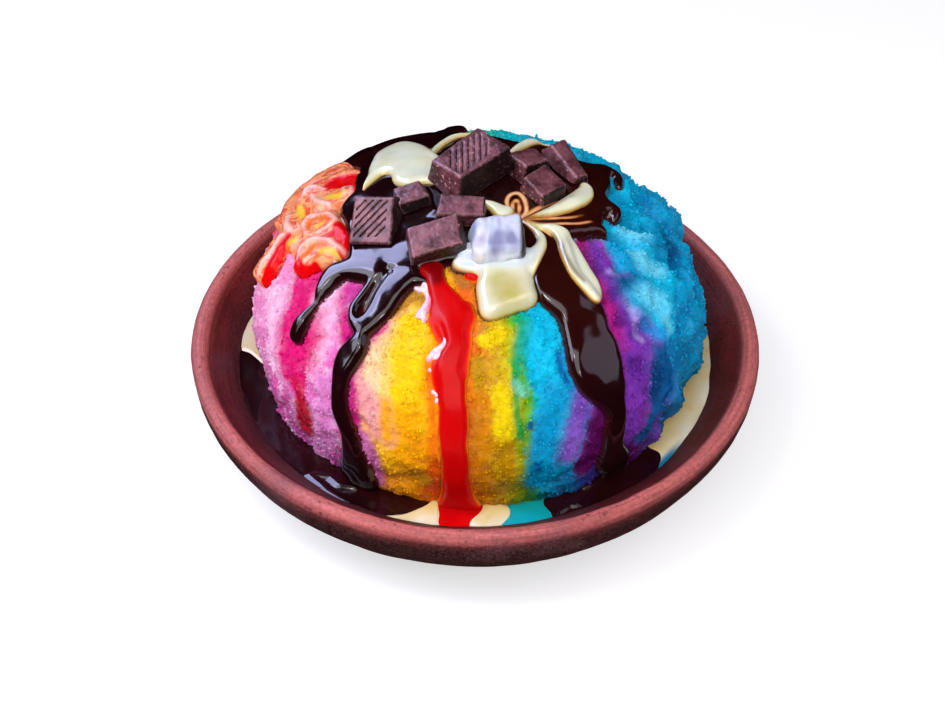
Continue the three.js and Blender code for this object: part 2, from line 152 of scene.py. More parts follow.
def setWeights(piece, name, indices, weights):
    group = piece.vertex_groups.new(name=name)
    for index in indices:
        group.add([int(index)], float(weights[index]), "REPLACE")


def vertexPlaces(piece):
    places = np.empty(len(piece.data.vertices) * 3)
    piece.data.vertices.foreach_get("co", places)
    return places.reshape(-1, 3)


def vertexNormals(piece):
    return np.array([vertex.normal[:] for vertex in piece.data.vertices])


def keepValue(piece, name, values):
    attribute = piece.data.attributes.new(name, "FLOAT", "POINT")
    attribute.data.foreach_set("value", np.asarray(values, np.float32))


def finishPiece(piece, material, slot, *replaced):
    pick(piece)
    bpy.ops.object.shade_smooth()
    piece.data.materials.clear()
    piece.data.materials.append(material)
    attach(piece, "root")
    if replaced:
        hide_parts(*replaced)


def turnOf(x, y):
    # compass angle round the mound in degrees, 0 at the front and 90 at the right
    return np.degrees(np.arctan2(x - iceMiddle.x, -(y - iceMiddle.y)))


def smoothStep(value, low, high):
    t = np.clip((value - low) / (high - low), 0, 1)
    return t * t * (3 - 2 * t)


def newMaterial(name, roughness, **values):
    material = bpy.data.materials.new(name)
    material.use_nodes = True
    tree = material.node_tree
    shader = tree.nodes["Principled BSDF"]
    shader.inputs["Roughness"].default_value = roughness
    for key, value in values.items():
        shader.inputs[key.replace("_", " ")].default_value = value
    return material, tree, shader


def addNode(tree, kind, **values):
    # settings of the node itself are given by name, its sockets' values by inputs={...}
    node = tree.nodes.new("ShaderNode" + kind)
    for key, value in values.pop("inputs", {}).items():
        node.inputs[key].default_value = value
    for key, value in values.items():
        setattr(node, key, value)
    return node


def addMath(tree, operation, first, second=None):
    node = tree.nodes.new("ShaderNodeMath")
    node.operation = operation
    for socket, value in zip(node.inputs, (first, second)):
        if isinstance(value, (int, float)):
            socket.default_value = value
        elif value is not None:
            tree.links.new(value, socket)
    return node.outputs[0]


def addProduct(tree, first, second):
    return addMath(tree, "MULTIPLY", first, second)


def addNoise(tree, coordinates, scale, detail=3.0, roughness=0.55, distortion=0.0):
    node = addNode(tree, "TexNoise", inputs={
        "Scale": scale, "Detail": detail, "Roughness": roughness, "Distortion": distortion})
    tree.links.new(coordinates, node.inputs["Vector"])
    return node.outputs["Fac"]


def addRange(tree, value, low, high, toLow=0.0, toHigh=1.0):
    node = addNode(tree, "MapRange", inputs={
        "From Min": low, "From Max": high, "To Min": toLow, "To Max": toHigh})
    tree.links.new(value, node.inputs["Value"])
    return node.outputs["Result"]


def addRamp(tree, value, stops, interpolation="LINEAR"):
    node = addNode(tree, "ValToRGB")
    ramp = node.color_ramp
    ramp.interpolation = interpolation
    for place, colour in stops[1:-1]:
        ramp.elements.new(place).color = (*colour, 1)
    ramp.elements[0].position, ramp.elements[0].color = stops[0][0], (*stops[0][1], 1)
    ramp.elements[-1].position, ramp.elements[-1].color = stops[-1][0], (*stops[-1][1], 1)
    tree.links.new(value, node.inputs["Fac"])
    return node.outputs["Color"]


def addMix(tree, share, first, second, blend="MIX"):
    node = addNode(tree, "Mix", data_type="RGBA", blend_type=blend)
    sockets = [s for s in node.inputs if s.enabled]
    for socket, value in zip(sockets, (share, first, second)):
        if isinstance(value, (int, float)):
            socket.default_value = value
        elif isinstance(value, tuple):
            socket.default_value = (*value, 1)
        else:
            tree.links.new(value, socket)
    return [s for s in node.outputs if s.enabled][0]


def addShade(tree, colour, light):
    # the colour made darker or brighter by a plain value
    grey = addNode(tree, "CombineColor")
    for socket in grey.inputs[:3]:
        tree.links.new(light, socket)
    return addMix(tree, 1.0, colour, grey.outputs["Color"], "MULTIPLY")


def addSplit(tree, vector):
    split = addNode(tree, "SeparateXYZ")
    tree.links.new(vector, split.inputs[0])
    return split.outputs


def addStretch(tree, vector, **values):
    node = addNode(tree, "Mapping", inputs=values)
    tree.links.new(vector, node.inputs["Vector"])
    return node.outputs["Vector"]


def addSurface(tree, shader, colour, height, strength, distance):
    # every material ends with its colour and a bump, whose distance is in millimetres
    node = addNode(tree, "Bump", inputs={"Strength": strength, "Distance": distance * mm})
    tree.links.new(colour, shader.inputs["Base Color"])
    tree.links.new(height, node.inputs["Height"])
    tree.links.new(node.outputs["Normal"], shader.inputs["Normal"])


def valueOf(tree, name):
    return addNode(tree, "Attribute", attribute_name=name).outputs["Fac"]


def rgb(red, green, blue):
    # 0 to 255 as a screen shows it, to the linear values that Blender's sockets take
    shown = (red, green, blue)
    return tuple(c / 255 / 12.92 if c <= 10 else ((c / 255 + 0.055) / 1.055) ** 2.4 for c in shown)


def objectPlace(tree, middle=(0, 0, 0)):
    # Object coordinates in millimetres from a middle
    place = addNode(tree, "TexCoord").outputs["Object"]
    return addStretch(tree, place, Location=tuple(-1000 * m for m in middle), Scale=(1000, 1000, 1000))


dishLook = {
    "lipThickness": 5.6, "floorRadius": 30, "floorHeight": 7, "footRadius": 50, "wallSmooth": 14,
    "turns": 320, "handUneven": 0.9, "dents": 0.28, "unevenFrom": (2, 9),
    "litClay": rgb(136, 40, 42), "darkClay": rgb(86, 17, 22), "lipClay": rgb(216, 118, 112),
    "lowShadeClay": rgb(40, 4, 8), "outerShadeClay": rgb(32, 6, 5), "smoke": rgb(104, 68, 76),
    "speck": rgb(40, 16, 16), "grain": rgb(190, 104, 100),
}


def dishMaterial():
    look = dishLook
    material, tree, shader = newMaterial("terracottaClay", 0.65, Specular_IOR_Level=0.22)
    place = objectPlace(tree)
    x, y, z = addSplit(tree, place)
    radius = addMath(tree, "SQRT", addMath(tree, "ADD", addProduct(tree, x, x), addProduct(tree, y, y)))
    # noise drawn out along the turning of the wheel
    rings = addNode(tree, "CombineXYZ")
    drawn = ((addMath(tree, "ARCTAN2", x, y), 2.2), (radius, 0.9), (z, 0.9))
    for socket, (value, scale) in zip(rings.inputs, drawn):
        tree.links.new(addProduct(tree, value, scale), socket)
    turned = addNoise(tree, rings.outputs[0], 1.1, 5, 0.65)
    blotch = addNoise(tree, place, 0.045, 4, 0.6)
    grain = addNoise(tree, place, 1.6, 5, 0.7)
    clay = addMix(tree, addRange(tree, blotch, 0.35, 0.7), look["darkClay"], look["litClay"])
    clay = addMix(tree, addRange(tree, turned, 0.4, 0.75, 0, 0.6), clay, look["darkClay"])
    # painted shade low down inside and outside, and pale on the worn lip
    clay = addMix(tree, addRange(tree, z, 35, 28.5, 0, 0.85), clay, look["lowShadeClay"])
    # painted shade: the outer wall below the lip darkened nearly to black
    outside = addProduct(tree, valueOf(tree, "outside"), addRange(tree, z, 36, 31.5, 0, 0.97))
    clay = addMix(tree, outside, clay, look["outerShadeClay"])
    lipShare = addProduct(tree, addRange(tree, z, 34.2, 37.6), addRange(tree, turned, 0.3, 0.65, 0.95, 0.45))
    clay = addMix(tree, lipShare, clay, look["lipClay"])
    smoke = addRange(tree, addNoise(tree, place, 0.028, 3, 0.6), 0.56, 0.74, 0, 0.55)
    clay = addMix(tree, smoke, clay, look["smoke"])
    specks = addNode(tree, "TexVoronoi", inputs={"Scale": 0.42, "Randomness": 1.0})
    tree.links.new(place, specks.inputs["Vector"])
    few = addNoise(tree, place, 0.09, 2)
    speck = addProduct(tree, addRange(tree, specks.outputs["Distance"], 0.16, 0.26, 1, 0),
                    addRange(tree, few, 0.52, 0.6))
    clay = addMix(tree, addProduct(tree, speck, 0.45), clay, look["speck"])
    clay = addMix(tree, addRange(tree, grain, 0.4, 0.75, 0, 0.2), clay, look["grain"])
    clay = addShade(tree, clay, addRange(tree, addNoise(tree, place, 0.8, 5, 0.75), 0.34, 0.66, 0.72, 1.26))
    tree.links.new(addRange(tree, grain, 0.3, 0.7, 0.4, 0.7), shader.inputs["Roughness"])
    height = addMath(tree, "ADD", addProduct(tree, turned, 0.9), addProduct(tree, grain, 0.5))
    addSurface(tree, shader, clay, addMath(tree, "SUBTRACT", height, speck), 0.7, 0.5)
    return material


def makeDish():
    look = dishLook
    low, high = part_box("bowl")
    rimRadius = high.x - 0.05 * mm
    lipInner = rimRadius - look["lipThickness"] * mm
    lipMiddle = (rimRadius + lipInner) / 2
    top = high.z + 0.05 * mm
    lipHeight = top - look["lipThickness"] / 2 * mm
    bow = look["lipThickness"] / 2 * 0.55 * mm
    floorZ, floorR, footR = look["floorHeight"] * mm, look["floorRadius"] * mm, look["footRadius"] * mm
    corners = [
        ((0, floorZ), (0, floorZ), (floorR * 0.3, floorZ)),
        ((floorR, floorZ), (floorR * 0.7, floorZ), (0.05, 0.0075)),
        ((lipInner, lipHeight), (0.066, 0.024), (lipInner, lipHeight + bow)),
        ((lipMiddle, top), (lipMiddle - bow, top), (lipMiddle + bow, top)),
        ((rimRadius, lipHeight), (rimRadius, lipHeight + bow), (rimRadius, 0.0193)),
        ((footR, 0), (0.066, 0.0073), (footR * 0.8, 0)),
        ((0, 0), (footR * 0.2, 0), (0, 0)),
    ]
    dish = drawSection("clayDish", corners, look["wallSmooth"])
    spinSection(dish, look["turns"])
    # the flat foot stays true, and the unevenness grows up the wall
    height = vertexPlaces(dish)[:, 2]
    low, high = look["unevenFrom"]
    setWeights(dish, "wall", np.nonzero(height > low * mm)[0], smoothStep(height, low * mm, high * mm))
    roughen(dish, noiseField("handUneven", "CLOUDS", 34), look["handUneven"], 0.62, "wall")
    roughen(dish, noiseField("dents", "CLOUDS", 7, noise_depth=3), look["dents"], 0.6, "wall")
    places = vertexPlaces(dish)
    radius = np.hypot(places[:, 0], places[:, 1])
    facing = (vertexNormals(dish)[:, :2] * places[:, :2]).sum(1) / (radius + 1e-9)
    keepValue(dish, "outside", smoothStep(facing, -0.1, 0.5))
    finishPiece(dish, dishMaterial(), "clay", "bowl")


# The mound is unrolled here: sauces and stains are drawn flat, then laid on it.
# Lengths are in mm, and turns in degrees.
iceLook = {
    "widest": 48, "radius": 68.1, "crown": 39, "skirt": 80, "foot": 23.2, "round": 0.58, "bulge": 2.1,
    "turns": 520, "rows": 190, "smooth": 58, "sectionEnd": 112, "sectionSteps": 2400, "bendHeight": 20,
    # size and strength in mm, then how each is made: kind, middle level, where it shows, other settings
    "softLump": (4.4, 2.1), "crystal": (1.4, -0.7), "fineCrystal": (0.7, -0.5), "blueLump": (8.5, 7.5),
    "relief": [
        ("blueLump", "CLOUDS", 0.58, "lumpy", {"noise_depth": 1}),
        ("softLump", "CLOUDS", 0.56, "bare", {"noise_depth": 2}),
        ("crystal", "VORONOI", 0.35, "crisp", {}),
        ("fineCrystal", "VORONOI", 0.4, "crisp", {}),
    ],
    "blueFrom": 40, "blueTo": 152, "grooves": 46, "grooveLength": 18, "grooveDepth": 0.9,
    "grooveWidth": 0.3, "underSauce": 0.9, "middleHeight": 20,
    # how the foot is closed: the share that is left of its width, and how far down it goes in mm
    "footSteps": ((0.82, -9), (0.6, -4), (0.01, -0.5)), "footHeight": 12,
}

studio = {
    "distance": 620, "elevation": 42.6, "aim": (-0.8, -8.5, 35.2), "lens": 78.9, "sensor": 36,
    # the frame in steps across and down, and millimetres at the mound for one step
    "frame": (945, 710), "frameStep": 0.2994,
    # how far from the camera the mound is looked for: from, to and step in mm
    "rayReach": (470, 720, 0.1), "liftSpread": 95, "liftTop": 0.8,
    "air": (0.80, 0.84, 1.0), "airStrength": 0.17, "floorGlow": 0.55, "lampAim": 40,
    # name, place in mm, size in mm, watts, colour
    "lamps": [
        ("skyLeft", (-450, -110, 560), 380, 2.9, (0.76, 0.78, 1.0)),
        ("softFront", (0, -430, 600), 620, 3.4, (1.0, 0.97, 0.98)),
        ("softRight", (520, -60, 420), 440, 0.8, (0.84, 0.78, 1.0)),
        ("windowBack", (-385, 250, 500), 430, 7.6, (0.56, 0.59, 1.0)),
        ("glintLeft", (-150, -250, 560), 46, 0.26, (1.0, 1.0, 1.0)),
        ("glintRight", (210, -420, 430), 40, 0.22, (1.0, 1.0, 1.0)),
    ],
}

# heights of the sauces, and the rise at which the ice counts as bare
sauceLook = {"chocolate": 2.3, "milk": 1.7, "syrup": 1.7, "swirl": 2.2, "edge": -0.9}

# the flat grid's step and reach, and how a sauce's skin falls off at its edge, all in mm
flat = {"step": 0.5, "reach": 112, "margin": 1.5, "sunk": -1.15, "lift": 0.35, "lowest": -3, "fall": 1.5,
        "thickness": 0.7, "rippleHeight": 0.22, "rippleSize": 4.5}
flatLine = np.arange(-flat["reach"], flat["reach"] + flat["step"], flat["step"])
flatX, flatY = np.meshgrid(flatLine, flatLine, indexing="ij")
gridReach = np.hypot(flatX, flatY)
gridTurn = np.degrees(np.arctan2(flatX, -flatY))

# The plain mound's section in small steps: how far down its surface, its radius and its height
tilts = np.radians(np.linspace(0, iceLook["sectionEnd"], iceLook["sectionSteps"]))
crownRadius, crownHeight = (np.abs(wave(tilts)) ** (2 / iceLook["bulge"]) for wave in (np.sin, np.cos))
sectionRadius = iceLook["radius"] * np.where(np.cos(tilts) > 0, crownRadius, np.sin(tilts))
sectionHeight = iceLook["widest"] + np.where(
    np.cos(tilts) > 0, iceLook["crown"] * crownHeight, iceLook["skirt"] * np.cos(tilts))
sectionReach = np.concatenate([[0], np.cumsum(np.hypot(np.diff(sectionRadius), np.diff(sectionHeight)))])


def alongSection(reach):
    return np.interp(reach, sectionReach, sectionRadius), np.interp(reach, sectionReach, sectionHeight)


def onMound(turn, reach, lift=0.0):
    # places in millimetres on the plain mound, and the way its surface faces there
    radius, height = alongSection(reach)
    beside = 0.4
    innerRadius, innerHeight = alongSection(reach - beside)
    outerRadius, outerHeight = alongSection(reach + beside)
    outward, upward = innerHeight - outerHeight, outerRadius - innerRadius
    length = np.hypot(outward, upward) + 1e-9
    turn = np.radians(turn)
    facing = np.stack([outward * np.sin(turn), -outward * np.cos(turn), upward], -1) / length[..., None]
    x, y = radius * np.sin(turn) + iceMiddle.x / mm, iceMiddle.y / mm - radius * np.cos(turn)
    place = np.stack([x, y, height], -1)
    return place + facing * np.asarray(lift)[..., None], facing


def framePoint(across, down, lift):
    # the turn and reach of what the camera sees at a point of its frame, lift millimetres above the mound
    width, height = studio["frame"]
    focal = studio["lens"] / studio["sensor"] * width
    tilt = math.radians(studio["elevation"])
    back = np.array([0, -math.cos(tilt), math.sin(tilt)])
    up = np.array([0, math.sin(tilt), math.cos(tilt)])
    eye = np.array(studio["aim"]) + back * studio["distance"]
    ray = -back + np.array([1, 0, 0]) * (across - width / 2) / focal - up * (down - height / 2) / focal
    ray /= np.linalg.norm(ray)
    steps = eye + ray * np.arange(*studio["rayReach"])[:, None]
    radius = np.hypot(steps[:, 0] - iceMiddle.x / mm, steps[:, 1] - iceMiddle.y / mm)
    crown, skirt = tilts < math.pi / 2, tilts >= math.pi / 2
    tops = np.interp(radius - lift * radius / studio["liftSpread"], sectionRadius[crown],
                     sectionHeight[crown])
    sides = np.interp(-steps[:, 2], -sectionHeight[skirt], sectionRadius[skirt])
    under = (radius < iceLook["radius"] + lift) & (steps[:, 2] < tops + lift * studio["liftTop"])
    inside = np.where(steps[:, 2] < iceLook["widest"], radius < sides + lift, under)
    if not inside.any():
        inside[np.argmin(radius + np.abs(steps[:, 2] - iceLook["widest"]))] = True
    x, y, z = steps[np.argmax(inside)]
    turn = math.degrees(math.atan2(x - iceMiddle.x / mm, iceMiddle.y / mm - y))
    away = np.hypot(x - iceMiddle.x / mm, y - iceMiddle.y / mm)
    nearest = np.argmin((sectionRadius - away) ** 2 + (sectionHeight - z) ** 2)
    return turn, sectionReach[nearest]


def seenRun(points, lift=2.0):
    # a run given as the camera sees it: across, down and width in the frame
    scale = studio["frameStep"]
    return [(*framePoint(across, down, lift), width * scale) for across, down, width in points]


def seenPatch(points, lift):
    # a patch's outline given the same way, without widths
    return [framePoint(across, down, lift) for across, down in points]


def iceMarkRun(points):
    # as seenRun, for a stroke that runs down: wider where the mound turns away, so that it looks as wide
    narrowest = 0.42
    return [(turn, reach, width / max(math.cos(math.radians(turn)), narrowest))
            for turn, reach, width in seenRun(points, 0)]


def smoothLine(points, closed=False):
    # a curve through a few points, with its samples close together
    line = np.array(points, float)
    if closed:
        line = np.concatenate([line[-1:], line, line[:2]])
    else:
        line = np.concatenate([2 * line[:1] - line[1:2], line, 2 * line[-1:] - line[-2:-1]])
    made = []
    for a, b, c, d in zip(line[:-3], line[1:-2], line[2:-1], line[3:]):
        square, cube = 2 * a - 5 * b + 4 * c - d, 3 * b - a - 3 * c + d
        count = max(3, int(np.linalg.norm((c - b)[:2]) / flat["step"]))
        for t in np.linspace(0, 1, count, endpoint=False):
            made.append(0.5 * (2 * b + (c - a) * t + square * t * t + cube * t ** 3))
    if not closed:
        made.append(line[-2])
    return np.array(made)


def valueNoise(u, v, seed, around=0):
    # smooth random values between -1 and 1; with around, u comes back to its start after that many steps
    table = np.random.default_rng(seed).uniform(-1, 1, (around or int(u.max()) + 3, int(v.max()) + 3))
    i, j = np.floor(u).astype(int), np.floor(v).astype(int)
    fu, fv = smoothStep(u - i, 0, 1), smoothStep(v - j, 0, 1)
    i0, i1 = i % len(table), (i + 1) % len(table)
    return ((table[i0, j] * (1 - fu) + table[i1, j] * fu) * (1 - fv)
            + (table[i0, j + 1] * (1 - fu) + table[i1, j + 1] * fu) * fv)


def ripple(size, seed):
    return valueNoise((flatX + flat["reach"]) / size, (flatY + flat["reach"]) / size, seed)


def reachOf(places):
    # how far down the mound's surface places in metres lie
    radius = np.hypot(places[:, 0] - iceMiddle.x, places[:, 1] - iceMiddle.y) / mm
    bend = iceLook["bendHeight"]
    return np.interp(np.arctan2(radius, places[:, 2] / mm - bend),
                     np.arctan2(sectionRadius, sectionHeight - bend), sectionReach)


def unroll(points):
    # turn and reach as places on the flat grid
    return [(reach * math.sin(math.radians(turn)), -reach * math.cos(math.radians(turn)), *rest)
            for turn, reach, *rest in points]


def nearRun(points):
    # for every point of the flat grid, how far it lies across the run: 0 in its middle, 1 at its edge,
    # and how wide the run is there
    away = np.full(flatX.shape, 9.0)
    span = np.ones(flatX.shape)
    for x, y, width in smoothLine(unroll(points)):
        half = max(width / 2, 0.15)
        reach = math.hypot(x, y)
        stretch = max(1.0, reach / max(float(np.interp(reach, sectionReach, sectionRadius)), 1))
        room = half * 2.2 * stretch + 3
        i0, i1 = np.searchsorted(flatLine, (x - room, x + room))
        j0, j1 = np.searchsorted(flatLine, (y - room, y + room))
        part = np.s_[i0:i1, j0:j1]
        down = np.array([x, y]) / max(reach, 1e-6)
        dx, dy = flatX[part] - x, flatY[part] - y
        along = dx * down[0] + dy * down[1]
        across = (dy * down[0] - dx * down[1]) / stretch
        distance = np.hypot(along, across) / half
        closer = distance < away[part]
        away[part] = np.where(closer, distance, away[part])
        span[part] = np.where(closer, half, span[part])
    return away, span


def runRise(points, height, flatness=2.8):
    # the run's height above what it lies on: rounded across, and falling below the ice outside its edge
    away, span = nearRun(points)
    tall = np.minimum(height, 1.15 * span)
    inside = tall * (1 - np.clip(away, 0, 1) ** flatness) ** (1 / flatness)
    return np.where(away < 1, inside, np.maximum(-(away - 1) * span * flat["fall"], flat["lowest"]))


def patchRise(points, height, edge=2.0):
    outline = smoothLine([(*p[:2], 0) for p in unroll(points)], closed=True)[:, :2]
    room = 4
    i0, i1 = np.searchsorted(flatLine, (outline[:, 0].min() - room, outline[:, 0].max() + room))
    j0, j1 = np.searchsorted(flatLine, (outline[:, 1].min() - room, outline[:, 1].max() + room))
    part = np.s_[i0:i1, j0:j1]
    x, y = flatX[part], flatY[part]
    inside = np.zeros(x.shape, bool)
    distance = np.full(x.shape, 99.0)
    for (ax, ay), (bx, by) in zip(outline, np.roll(outline, -1, axis=0)):
        crosses = ((ay > y) != (by > y)) & (x < (bx - ax) * (y - ay) / (by - ay + 1e-12) + ax)
        inside ^= crosses
        distance = np.minimum(distance, np.hypot(x - ax, y - ay))
    rise = np.full(flatX.shape, float(flat["lowest"]))
    full = height * np.sqrt(np.clip(1 - (1 - np.clip(distance / edge, 0, 1)) ** 2, 0, 1))
    rise[part] = np.where(inside, full, np.maximum(-distance * flat["fall"], flat["lowest"]))
    return rise


def soften(field, times=2):
    for _ in range(times):
        for axis in (0, 1):
            field = 0.5 * field + 0.25 * (np.roll(field, 1, axis) + np.roll(field, -1, axis))
    return field


def merged(*fields, times=2):
    return soften(np.maximum.reduce(fields), times)


def stroke(runs, feather):
    # a painted stroke or several: 1 inside, fading to 0 over a feather's share of the width
    share = np.zeros(flatX.shape)
    for run in runs:
        away, _ = nearRun(run)
        share = np.maximum(share, 1 - smoothStep(away, 1 - feather, 1 + feather))
    return soften(share, 1)


def seenStroke(runs, lift, feather):
    return stroke([seenRun(run, lift) for run in runs], feather)


def sampled(field, turn, reach):
    # the flat grid's value at any place on the mound
    x = (reach * np.sin(np.radians(turn)) - flatLine[0]) / flat["step"]
    y = (-reach * np.cos(np.radians(turn)) - flatLine[0]) / flat["step"]
    i, j = np.clip(x.astype(int), 0, len(flatLine) - 2), np.clip(y.astype(int), 0, len(flatLine) - 2)
    fx, fy = np.clip(x - i, 0, 1), np.clip(y - j, 0, 1)
    return ((field[i, j] * (1 - fx) + field[i + 1, j] * fx) * (1 - fy)
            + (field[i, j + 1] * (1 - fx) + field[i + 1, j + 1] * fx) * fy)


# the places where the ice is felt for, in degrees and millimetres
sagGrid = {"turns": 121, "reaches": 70, "first": 0.5, "last": 111, "above": 6, "missed": 0.8, "smooth": 6}


def iceSag(form):
    # how far the ice lies inside the plain mound, smoothed, over the flat grid
    look = sagGrid
    tree = BVHTree.FromPolygons([v.co.copy() for v in form.data.vertices],
                                [p.vertices[:] for p in form.data.polygons])
    turns = np.linspace(-180, 180, look["turns"])
    reaches = np.linspace(look["first"], look["last"], look["reaches"])
    turnGrid, reachGrid = np.meshgrid(turns, reaches, indexing="ij")
    places, facings = onMound(turnGrid, reachGrid)
    sag = np.zeros(turnGrid.shape)
    for i in range(len(turns)):
        for j in range(len(reaches)):
            start = Vector((places[i, j] + facings[i, j] * look["above"]) * mm)
            hit, _, _, distance = tree.ray_cast(start, -Vector(facings[i, j]), 20 * mm)
            sag[i, j] = (distance / mm - look["above"]) if hit else look["missed"]
    sag = 0.5 * sag + 0.25 * (np.roll(sag, 1, 0) + np.roll(sag, -1, 0))
    turnStep, reachStep = 360 / (len(turns) - 1), (look["last"] - look["first"]) / (len(reaches) - 1)
    i = np.clip(((gridTurn + 180) / turnStep).astype(int), 0, len(turns) - 2)
    j = np.clip((gridReach - look["first"]) / reachStep, 0, len(reaches) - 2.001)
    j0 = j.astype(int)
    fi, fj = (gridTurn + 180) / turnStep - i, j - j0
    near = sag[i, j0] * (1 - fi) + sag[i + 1, j0] * fi
    far = sag[i, j0 + 1] * (1 - fi) + sag[i + 1, j0 + 1] * fi
    return soften(near * (1 - fj) + far * fj, look["smooth"])


def layDown(name, rise, material, slot, *replaced, **paints):
    # makes the piece: a skin over the flat grid, laid on the ice and given a thickness
    wave = flat["rippleHeight"] * ripple(flat["rippleSize"], 5)
    rise = rise + flat["lift"] * smoothStep(rise, -1.2, 0) + wave * smoothStep(rise, 0.4, 1.6)
    shown = rise > flat["sunk"]
    shown &= gridReach < flat["reach"] - flat["margin"]
    # the four corners of every cell of the grid
    parts = (np.s_[:-1, :-1], np.s_[1:, :-1], np.s_[1:, 1:], np.s_[:-1, 1:])
    cell = np.logical_and.reduce([shown[part] for part in parts])
    used = np.zeros(shown.shape, bool)
    for part in parts:
        used[part] |= cell
    number = np.cumsum(used.ravel()).reshape(used.shape) - 1
    places, facing = onMound(gridTurn[used], gridReach[used], rise[used] - sag[used])
    faces = np.stack([number[part][cell] for part in parts], 1)
    piece = newPiece(name, (places * mm).tolist(), faces.tolist())
    keepValue(piece, "rise", rise[used])
    for key, field in paints.items():
        keepValue(piece, key, field[used])
    cleanMesh(piece, dropLoose=True)
    if sum(p.normal.z * p.area for p in piece.data.polygons) < 0:
        piece.data.flip_normals()
    modify(piece, "SOLIDIFY", thickness=flat["thickness"] * mm, offset=-1)
    finishPiece(piece, material, slot, *replaced)


# Colours round the mound: turn in degrees, then the colour high up and the colour near the foot, which is
# darker partly as painted shade
iceColours = [
    (-180, rgb(20, 190, 150), rgb(4, 120, 96)),
    (-166, rgb(190, 205, 30), rgb(120, 140, 10)),
    (-148, rgb(250, 205, 20), rgb(225, 150, 4)),
    (-128, rgb(250, 120, 20), rgb(235, 100, 8)),
    (-108, rgb(240, 80, 110), rgb(230, 60, 120)),
    (-90, rgb(248, 150, 196), rgb(224, 92, 164)),
    (-72, rgb(248, 148, 198), rgb(220, 92, 168)),
    (-63, rgb(244, 110, 184), rgb(222, 72, 158)),
    (-50, rgb(240, 138, 196), rgb(200, 88, 166)),
    (-43, rgb(244, 110, 190), rgb(200, 78, 166)),
    (-36, rgb(228, 60, 150), rgb(180, 60, 140)),
    (-31, rgb(238, 160, 130), rgb(196, 60, 120)),
    (-27, rgb(244, 200, 90), rgb(222, 100, 60)),
    (-22, rgb(254, 214, 18), rgb(236, 140, 4)),
    (-16, rgb(250, 186, 2), rgb(230, 140, 2)),
    (-11, rgb(242, 100, 8), rgb(208, 66, 4)),
    (-3, rgb(226, 116, 4), rgb(200, 92, 2)),
    (2, rgb(214, 148, 2), rgb(190, 130, 1)),
    (7, rgb(214, 190, 4), rgb(164, 132, 2)),
    (11, rgb(110, 184, 20), rgb(70, 124, 12)),
    (14, rgb(16, 176, 100), rgb(2, 104, 76)),
    (18, rgb(2, 184, 204), rgb(1, 116, 150)),
    (23, rgb(2, 164, 214), rgb(2, 106, 164)),
    (28, rgb(40, 104, 196), rgb(50, 50, 150)),
    (34, rgb(110, 24, 130), rgb(70, 8, 84)),
    (42, rgb(150, 34, 140), rgb(84, 10, 90)),
    (49, rgb(140, 80, 190), rgb(96, 60, 160)),
    (55, rgb(40, 150, 216), rgb(12, 96, 160)),
    (62, rgb(2, 162, 208), rgb(1, 104, 146)),
    (120, rgb(2, 156, 200), rgb(1, 92, 132)),
    (162, rgb(2, 182, 210), rgb(1, 110, 140)),
    (180, rgb(20, 190, 150), rgb(4, 120, 96)),
]
